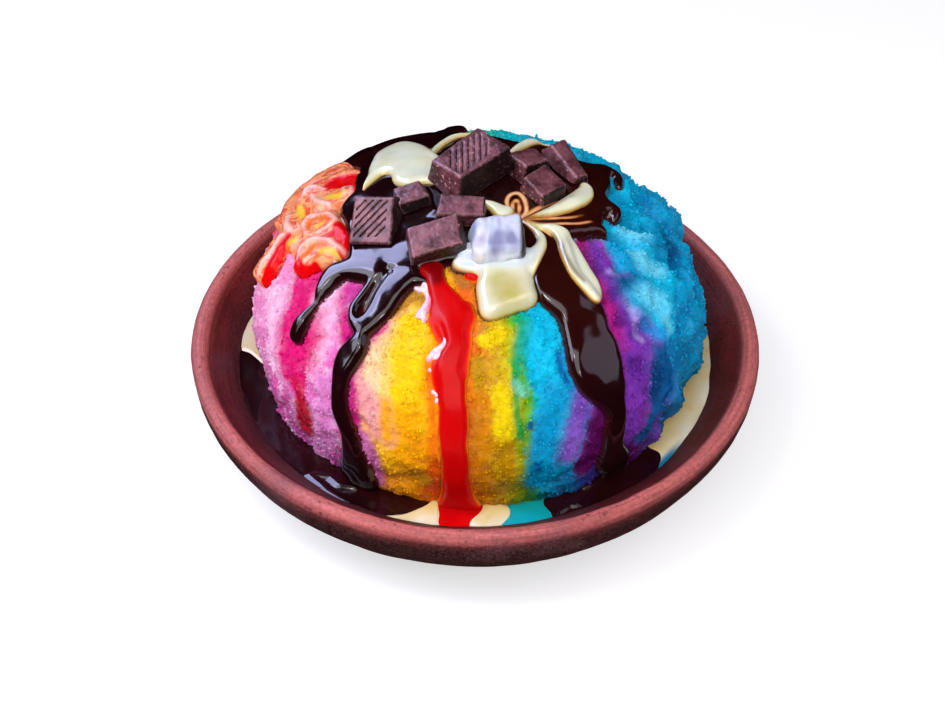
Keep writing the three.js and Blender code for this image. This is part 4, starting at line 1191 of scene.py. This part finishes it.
# the swirl's colours, one list of strokes for each
swirlReds = [
    [(323, 182, 12), (332, 177, 20), (345, 175, 24), (355, 176, 24), (362, 173, 14)],
    [(354, 185, 9), (352, 190, 8)], [(304, 186, 4), (312, 179, 4), (322, 174, 4), (334, 169, 4)],
    [(335, 219, 8), (338, 228, 15), (340, 237, 14), (338, 246, 8)], [(320, 232, 6), (329, 229, 9)],
    [(285, 234, 9), (277, 244, 11), (271, 254, 12), (265, 266, 11), (257, 281, 10)],
    [(291, 254, 9), (294, 265, 12), (303, 267, 11), (310, 261, 8)],
    [(300, 200, 2), (303, 209, 2), (299, 220, 2), (300, 232, 2), (296, 243, 2.4), (292, 254, 3)],
]
swirlOranges = [
    [(304, 224, 5), (306, 217, 5), (315, 213, 5), (325, 213, 4)],
    [(302, 250, 8), (310, 243, 8), (322, 240, 8)], [(330, 190, 5), (341, 188, 6)],
    [(284, 242, 6), (280, 250, 5)], [(312, 254, 9), (318, 250, 8)],
]
swirlYellows = [
    [(297, 204, 9), (299, 213, 7)], [(312, 222, 4), (320, 218, 5)],
    [(318, 247, 6), (328, 246, 6), (335, 249, 4)], [(325, 193, 8), (337, 190, 8), (343, 187, 5)],
    [(288, 240, 6), (294, 237, 5)],
]
swirlPales = [
    [(298, 198, 3), (304, 189, 4), (312, 184, 4), (321, 184, 3)],
    [(309, 191, 4), (315, 197, 5), (326, 200, 5)],
    [(342, 189, 2.6), (341, 182, 2.6), (347, 180, 2.6), (350, 188, 2.6)],
    [(366, 172, 3), (361, 182, 3), (355, 192, 3), (348, 196, 2.6)],
    [(304, 231, 2.4), (300, 222, 2.8), (305, 213, 3), (314, 208.5, 3.2), (325, 209, 3.2), (333, 214, 3),
     (325, 222, 3), (312, 229, 2.6)],
    [(292, 256, 2.4), (297, 244, 3.6), (307, 236, 4.4), (319, 234, 4.6), (330, 238, 4), (339, 245, 3)],
    [(286, 212, 7), (284, 222, 8), (288, 228, 6)],
    [(255, 274, 4), (262, 260, 5), (270, 247, 5), (280, 234, 5)], [(274, 262, 5), (279, 252, 4)],
]


def layChocolate(chocolate):
    milky = np.maximum.reduce([seenStroke([run], 2.3, 0.7) for run in milkFeathers])
    layDown("pouredChocolate", chocolate, chocolateSauceMaterial(), "chocolate_sauce", "chocolate_sauce",
            milky=milky)


def layMilk(swirl, chocolate):
    milk = milkMaterial()
    bed = soften(np.clip(chocolate, 0, None), 3)

    def onTop(rise):
        # lifted by the chocolate sauce that it lies on
        return np.where(rise > sauceLook["edge"], rise + bed * smoothStep(rise, -1.0, 0.5), rise)

    furrows = np.maximum(seenStroke(milkFurrows, 3.3, 0.5), seenStroke([milkHollow], 3, 0.9) * 0.9)
    layDown("milkSwirl", onTop(swirl), milk, "milk", depth=soften(swirl, 5), dark=furrows,
            cold=seenStroke([milkShadow], 3, 0.35), warm=seenStroke([milkYellowShade], 3, 1.0))
    thick = sauceLook["milk"]
    plain = np.zeros(flatX.shape)
    for name, rise, node in (
            ("milkLeft", patchRise(seenPatch(milkLeft, 2.8), thick * 1.1), "condensed_milk_left"),
            ("milkBackArc", runRise(seenRun(milkBackArc, 3), thick), "condensed_milk_back"),
            ("milkBackRight", runRise(seenRun(milkBackRight, 3), thick), "condensed_milk_back_right")):
        rise = soften(rise, 2)
        layDown(name, onTop(rise), milk, "milk", node, depth=rise, dark=plain, cold=plain, warm=plain)


def laySyrup(syrup, stained):
    layDown("syrupRiver", syrup, syrupMaterial(), "red_syrup", "red_syrup_run",
            dark=seenStroke([syrupUnderChocolate], 1.8, 0.8))
    flecks = merged(*[runRise(seenRun(run, 1.8), 1.5) for run in foamFlecks], times=1)
    layDown("pinkFoam", flecks, foamMaterial(), "red_syrup")
    red, orange, yellow, pale = (seenStroke(runs, 2.7, feather) for runs, feather in (
        (swirlReds, 0.35), (swirlOranges, 0.6), (swirlYellows, 0.6), (swirlPales, 0.45)))
    # the pale folds stand up and the red lies low between them
    folded = stained + np.where(stained > 0, 0.8 * pale - 0.5 * red + 0.5 * ripple(3.2, 8), 0)
    layDown("syrupSwirl", folded, swirlMaterial(), "red_syrup", "red_syrup_swirl",
            red=red, orange=orange, yellow=yellow, pale=pale)


def makeSauces(chocolate, swirl, syrup, stained):
    layChocolate(chocolate)
    layMilk(swirl, chocolate)
    laySyrup(syrup, stained)


def coatMaterial():
    material, tree, shader = newMaterial("milkCoat", 0.4, Subsurface_Weight=0.3, Subsurface_Scale=0.0015,
                                         Specular_IOR_Level=0.3, Coat_Weight=0.1, Coat_Roughness=0.3)
    place = objectPlace(tree)
    # the smears run up and down, so the noise is drawn out along the height
    smear = addNoise(tree, addStretch(tree, place, Scale=(1, 0.5, 0.5)), 0.22, 1.5, 0.4, 0.3)
    veil = addRamp(tree, smear,
                   [(0.3, rgb(136, 138, 170)), (0.42, rgb(190, 196, 218)), (0.52, rgb(222, 230, 238)),
                    (0.66, rgb(236, 240, 240))])
    # painted lavender reflection on the upward faces, over chocolate showing through
    top = addProduct(tree, valueOf(tree, "top"), addRange(tree, smear, 0.46, 0.66, 0, 0.55))
    veil = addMix(tree, top, veil, rgb(132, 112, 158))
    # painted shade on the side facing away from the lamps, and the chocolate where the coat thins
    veil = addMix(tree, valueOf(tree, "thinAndShade"), veil, rgb(30, 10, 18))
    addSurface(tree, shader, veil, smear, 0.2, 0.8)
    return material


coatLook = {"voxel": 0.35, "thickness": 1.1, "smoothing": 14, "wave": (4.5, 1.1)}


def makeCoat():
    # the piece of chocolate at the front of the swirl, coated by the milk that ran over it
    look = coatLook
    coat = copyNode("chocolate_chunk_under_milk", "milkCoat")
    modify(coat, "REMESH", mode="VOXEL", voxel_size=look["voxel"] * mm)
    modify(coat, "DISPLACE", strength=look["thickness"] * mm, mid_level=0)
    modify(coat, "SMOOTH", factor=0.6, iterations=look["smoothing"])
    roughen(coat, noiseField("coatWave", "CLOUDS", look["wave"][0], noise_depth=1), look["wave"][1])
    places = vertexPlaces(coat)
    normals = vertexNormals(coat)
    # dark on the side away from the pour, which also faces away from the lamps: partly the coat thinning so
    # the chocolate shows, partly painted shade; and purplish in smears on top, where the chocolate shows
    # through under a painted lavender reflection
    x, y, z = ((places - places.min(0)) / np.ptp(places, axis=0)).T
    thinAndShade = np.maximum(smoothStep(normals[:, 0] - 0.3 * normals[:, 2], 0.2, 0.6), smoothStep(x, 0.86, 0.95))
    keepValue(coat, "thinAndShade", thinAndShade * smoothStep(z, 0.05, 0.3))
    keepValue(coat, "top", smoothStep(normals[:, 2], 0.3, 0.75))
    finishPiece(coat, coatMaterial(), "milk", "condensed_milk_swirl")


chocolateLook = {
    "voxel": 0.23, "smoothing": 1, "broken": (1.9, 0.34),
    "shadowSide": (0.9, -0.15, -0.4), "litOpenSide": (-0.35, -0.45, 0.82),
}


def chocolateMaterial():
    look = chocolateLook
    material, tree, shader = newMaterial("darkChocolate", 0.38, Specular_IOR_Level=0.35, Sheen_Weight=0.1,
                                         Sheen_Roughness=0.4, Coat_Weight=0.08, Coat_Roughness=0.25)
    shader.inputs["Sheen Tint"].default_value = (*rgb(240, 180, 185), 1)
    place = objectPlace(tree)
    cloud = addNoise(tree, place, 0.22, 4, 0.6)
    body = addMix(tree, addRange(tree, cloud, 0.35, 0.7), rgb(54, 18, 20), rgb(84, 34, 36))
    # a pale bloom on the cut faces that lie open towards the lamps, partly painted light; painted shade on
    # the side away from them; edges lighter partly from wear and partly as painted highlight; and painted
    # shade in the grooves
    geometry = addNode(tree, "NewGeometry")

    def facing(direction, low, high):
        dot = addNode(tree, "VectorMath", operation="DOT_PRODUCT")
        dot.inputs[1].default_value = direction
        tree.links.new(geometry.outputs["True Normal"], dot.inputs[0])
        return addRange(tree, dot.outputs["Value"], low, high)

    # painted shade on the faces turned away from the lamps
    away = facing(look["shadowSide"], 0.0, 0.45)
    body = addMix(tree, addProduct(tree, away, 0.97), body, rgb(12, 2, 4))
    # pale bloom on faces turned to the lamps, partly painted light
    bloomAndLight = addProduct(tree, facing(look["litOpenSide"], 0.45, 0.95), addRange(tree, cloud, 0.36, 0.6, 0.15, 1))
    body = addMix(tree, addProduct(tree, bloomAndLight, 0.66), body, rgb(156, 98, 108))
    edge = geometry.outputs["Pointiness"]
    # painted shade in the grooves
    body = addMix(tree, addRange(tree, edge, 0.48, 0.4, 0, 0.9), body, rgb(20, 6, 10))
    # lighter edges, partly wear and partly painted highlight
    wornAndLitEdge = addProduct(tree, addRange(tree, edge, 0.515, 0.58), addRange(tree, cloud, 0.4, 0.55, 0.3, 0.9))
    body = addMix(tree, wornAndLitEdge, body, rgb(214, 150, 148))
    fine = addNoise(tree, place, 1.4, 4, 0.65)
    crumbs = addProduct(tree, addRange(tree, fine, 0.56, 0.7, 0, 0.5), addRange(tree, cloud, 0.42, 0.6))
    body = addMix(tree, crumbs, body, rgb(188, 128, 126))
    tree.links.new(addRange(tree, fine, 0.3, 0.7, 0.28, 0.5), shader.inputs["Roughness"])
    addSurface(tree, shader, body, fine, 0.4, 0.3)
    return material


def makeChocolate():
    look = chocolateLook
    material = chocolateMaterial()
    field = noiseField("broken", "CLOUDS", look["broken"][0], noise_depth=2)
    for name in sorted(n for n in nodes if n.startswith("chocolate_chunk_")):
        piece = copyNode(name, "piece_" + name[len("chocolate_chunk_"):])
        modify(piece, "REMESH", mode="VOXEL", voxel_size=look["voxel"] * mm)
        modify(piece, "SMOOTH", factor=0.5, iterations=look["smoothing"])
        roughen(piece, field, look["broken"][1])
        finishPiece(piece, material, "chocolate", name)


# heights and widths in mm: the surface falls at a shore, climbs at the wall and stands up in a fold
poolLook = {
    "level": 28.0, "depth": 3.0, "inner": 55.0, "outer": 73.2, "across": 36, "step": 0.55,
    "fall": (0.28, 0.9), "climb": (0.55, 1.3), "fold": 0.9,
}


def poolMaterial(name, base, second):
    material, tree, shader = newMaterial(name, 0.16, Specular_IOR_Level=0.35, Coat_Weight=0.15,
                                         Coat_Roughness=0.06)
    place = objectPlace(tree)
    cloud = addNoise(tree, place, 0.07, 3, 0.5, 0.8)
    colour = addMix(tree, addRange(tree, cloud, 0.4, 0.75, 0, 1), base, second)
    # each pool's second colour close to the ice, partly painted shade
    colour = addMix(tree, addProduct(tree, valueOf(tree, "thinAndShade"), 0.8), colour, second)
    colour = addMix(tree, valueOf(tree, "blue"), colour, rgb(20, 130, 165))
    addSurface(tree, shader, colour, addNoise(tree, place, 0.08, 2, 0.4), 0.2, 1.2)
    return material


# piece, its liquid, first and last turn, the nodes that it stands for
poolPieces = [
    ("poolMilkLeft", "milk", -128, -88), ("poolChocolateLeft", "chocolate", -88, -21),
    ("poolMilkFrontLeft", "milk", -21, -7.5), ("poolSyrupFront", "syrup", -7.5, 1),
    ("poolMilkFrontRight", "milk", 1, 8), ("poolMeltFrontRight", "melt", 8, 19),
    ("poolChocolateRight", "chocolate", 19, 58), ("poolMilkRight", "milk", 58, 140),
    ("poolChocolateBack", "chocolate", 140, 186), ("poolMilkBack", "milk", 186, 232),
]
poolNodes = [
    "milk_pool_left", "chocolate_pool_left", "milk_pool_front_left", "syrup_pool_front",
    "milk_pool_front_right", "melt_pool_front_right", "chocolate_pool_right", "milk_pool_right",
    "chocolate_pool_back", "milk_pool_back",
]

# how many degrees the shore that starts at a turn lies further round at the ice and at the wall
poolSlants = {-21: (9.5, -4), -7.5: (-1, 1), 1: (1, -1), 8: (-1, 0), 19: (0, -1), 58: (-3, -16), -88: (4, -6)}
# folds of sauce where it ran into the pool: turn, radius and width in millimetres along each
poolFolds = [
    [(-42.5, 70.4, 0.9), (-38.5, 70.8, 1.1), (-34.5, 71.6, 1.1), (-29.5, 72.4, 0.9)],
    [(-42.5, 70.2, 0.9), (-40.6, 68.2, 1.0), (-38.0, 66.8, 0.9)],
    [(-37.6, 67.0, 1.2), (-34.6, 67.6, 1.3), (-31.0, 66.4, 0.9)],
    [(19.5, 70.4, 0.9), (22.0, 69.2, 0.9), (24.5, 69.6, 0.8)], [(19.4, 70.6, 0.8), (20.4, 67.8, 0.8)],
    [(36.0, 62.5, 0.8), (33.0, 64.0, 0.9), (28.5, 64.4, 0.8)],
]


def shoreTurn(turn, across):
    # where two pools meet, wandering a few degrees from the ice to the wall
    phase = turn * 0.7
    atIce, atWall = poolSlants.get(turn, (0, 0))
    return (turn + atIce + (atWall - atIce) * across ** 3
            + 1.6 * math.sin(5.5 * across + phase) + 0.8 * math.sin(11 * across + 2.3 * phase))


def foldLines():
    # the folds' middle lines as places in millimetres with a width
    return np.concatenate([smoothLine(unroll(fold)) for fold in poolFolds])


def poolPoints(first, last, columns, folds):
    # the surface in millimetres, column by column and from the ice to the wall in each
    look = poolLook
    fallHeight, fallWidth = look["fall"]
    climbHeight, climbWidth = look["climb"]
    points = []
    for column in range(columns + 1):
        for row in range(look["across"] + 1):
            across = row / look["across"]
            radius = look["inner"] + (look["outer"] - look["inner"]) * across
            begin, end = shoreTurn(first, across), shoreTurn(last, across)
            turn = math.radians(begin + (end - begin) * column / columns)
            edge = min(column, columns - column) / columns * (last - first) * math.pi / 180 * radius
            fall = fallHeight * math.exp(-(edge / fallWidth) ** 2)
            climb = climbHeight * math.exp(-((look["outer"] - radius) / climbWidth) ** 2)
            swell = 0.06 * math.sin(turn * 13 + radius * 0.5) + 0.05 * math.sin(turn * 31 - radius * 0.9)
            x, y = radius * math.sin(turn), -radius * math.cos(turn)
            fold = 0
            if folds is not None:
                away = np.hypot(folds[:, 0] - x, folds[:, 1] - y) / folds[:, 2]
                fold = look["fold"] * math.exp(-away.min() ** 2)
            points.append((x, y, look["level"] - fall + climb + swell + fold))
    return points


def slabFaces(columns, rows, count):
    # a slab's top, its underside count points further on, and the wall round them
    def spot(column, row):
        return column * (rows + 1) + row

    skin = [(spot(c, r), spot(c + 1, r), spot(c + 1, r + 1), spot(c, r + 1))
            for c in range(columns) for r in range(rows)]
    rim = ([(spot(c, 0), spot(c + 1, 0)) for c in range(columns)]
           + [(spot(columns, r), spot(columns, r + 1)) for r in range(rows)]
           + [(spot(c + 1, rows), spot(c, rows)) for c in range(columns)]
           + [(spot(0, r + 1), spot(0, r)) for r in range(rows)])
    faces = skin + [tuple(count + i for i in reversed(face)) for face in skin]
    return faces + [(b, a, count + a, count + b) for a, b in rim]


def makePools():
    look = poolLook
    liquids = {
        "milk": (poolMaterial("milkPool", rgb(240, 234, 206), rgb(226, 196, 112)), "milk"),
        "chocolate": (poolMaterial("chocolatePool", rgb(28, 5, 8), rgb(40, 8, 9)), "chocolate_sauce"),
        "syrup": (poolMaterial("syrupPool", rgb(222, 4, 8), rgb(170, 3, 6)), "red_syrup"),
        "melt": (poolMaterial("meltPool", rgb(6, 172, 196), rgb(14, 150, 140)), "melt"),
    }
    folds = foldLines()
    for (name, liquid, first, last), node in zip(poolPieces, poolNodes):
        columns = max(6, int((last - first) * math.pi / 180 * look["outer"] / look["step"]))
        points = poolPoints(first, last, columns, folds if liquid == "chocolate" else None)
        top = [(x * mm, y * mm, z * mm) for x, y, z in points]
        bottom = [(x, y, (look["level"] - look["depth"]) * mm) for x, y, z in top]
        pool = newPiece(name, top + bottom, slabFaces(columns, look["across"], len(top)))
        places = vertexPlaces(pool) / mm
        # blue melt along the wall where the milk begins, and against the ice each pool's second colour: thin
        # yellowed milk, and painted shade under the mound
        turn = np.degrees(np.arctan2(places[:, 0], -places[:, 1]))
        radius = np.hypot(places[:, 0], places[:, 1])
        blue = smoothStep(turn, 30, 34) * (1 - smoothStep(turn, 52, 60)) * smoothStep(radius, 69, 71)
        keepValue(pool, "blue", blue * (liquid == "milk"))
        keepValue(pool, "thinAndShade", 1 - smoothStep(radius, 64, 71))
        cleanMesh(pool)
        material, slot = liquids[liquid]
        finishPiece(pool, material, slot, node)
        bpy.ops.object.shade_smooth_by_angle(angle=math.radians(50))


def makeStudio():
    bpy.ops.mesh.primitive_plane_add(size=6, location=(0, 0, 0))
    floor = bpy.context.object
    floor.name = "paleFloor"
    material, tree, shader = newMaterial("palePaper", 0.9)
    shader.inputs["Base Color"].default_value = (0.62, 0.62, 0.62, 1)
    shader.inputs["Emission Color"].default_value = (1, 1, 1, 1)
    shader.inputs["Emission Strength"].default_value = studio["floorGlow"]
    floor.data.materials.append(material)
    floor.visible_glossy = False
    scene = bpy.context.scene
    world = bpy.data.worlds.new("studioAir")
    world.use_nodes = True
    background = world.node_tree.nodes["Background"]
    background.inputs["Color"].default_value = (*studio["air"], 1)
    background.inputs["Strength"].default_value = studio["airStrength"]
    world.cycles_visibility.glossy = False
    scene.world = world
    for name, place, size, power, colour in studio["lamps"]:
        data = bpy.data.lights.new(name, "AREA")
        data.size, data.energy, data.color = size * mm, power, colour
        lamp = bpy.data.objects.new(name, data)
        lamp.location = Vector(place) * mm
        aim = Vector((0, 0, studio["lampAim"])) * mm - lamp.location
        lamp.rotation_euler = aim.to_track_quat("-Z", "Y").to_euler()
        scene.collection.objects.link(lamp)
    # the window behind only shows as a gleam on what is wet
    bpy.data.objects["windowBack"].visible_diffuse = False
    lens = bpy.data.cameras.new("camera")
    lens.lens = studio["lens"]
    camera = bpy.data.objects.new("camera", lens)
    tilt = math.radians(studio["elevation"])
    back = Vector((0, -math.cos(tilt), math.sin(tilt)))
    camera.location = Vector(studio["aim"]) * mm + back * studio["distance"] * mm
    camera.rotation_euler = (-back).to_track_quat("-Z", "Y").to_euler()
    lens.clip_start, lens.clip_end = 0.01, 50
    scene.collection.objects.link(camera)
    scene.camera = camera
    scene.view_settings.view_transform = "Standard"


makeDish()
print("dish done")
shapes = pouredShapes()
covered = np.maximum.reduce(shapes)
form = moundForm()
sag = iceSag(form)
ice = makeIce(form)
makeGrains(ice)
print("ice done")
makeSauces(*shapes)
makeCoat()
print("sauces done")
makeChocolate()
print("chocolate pieces done")
makePools()
makeStudio()
print("studio done")
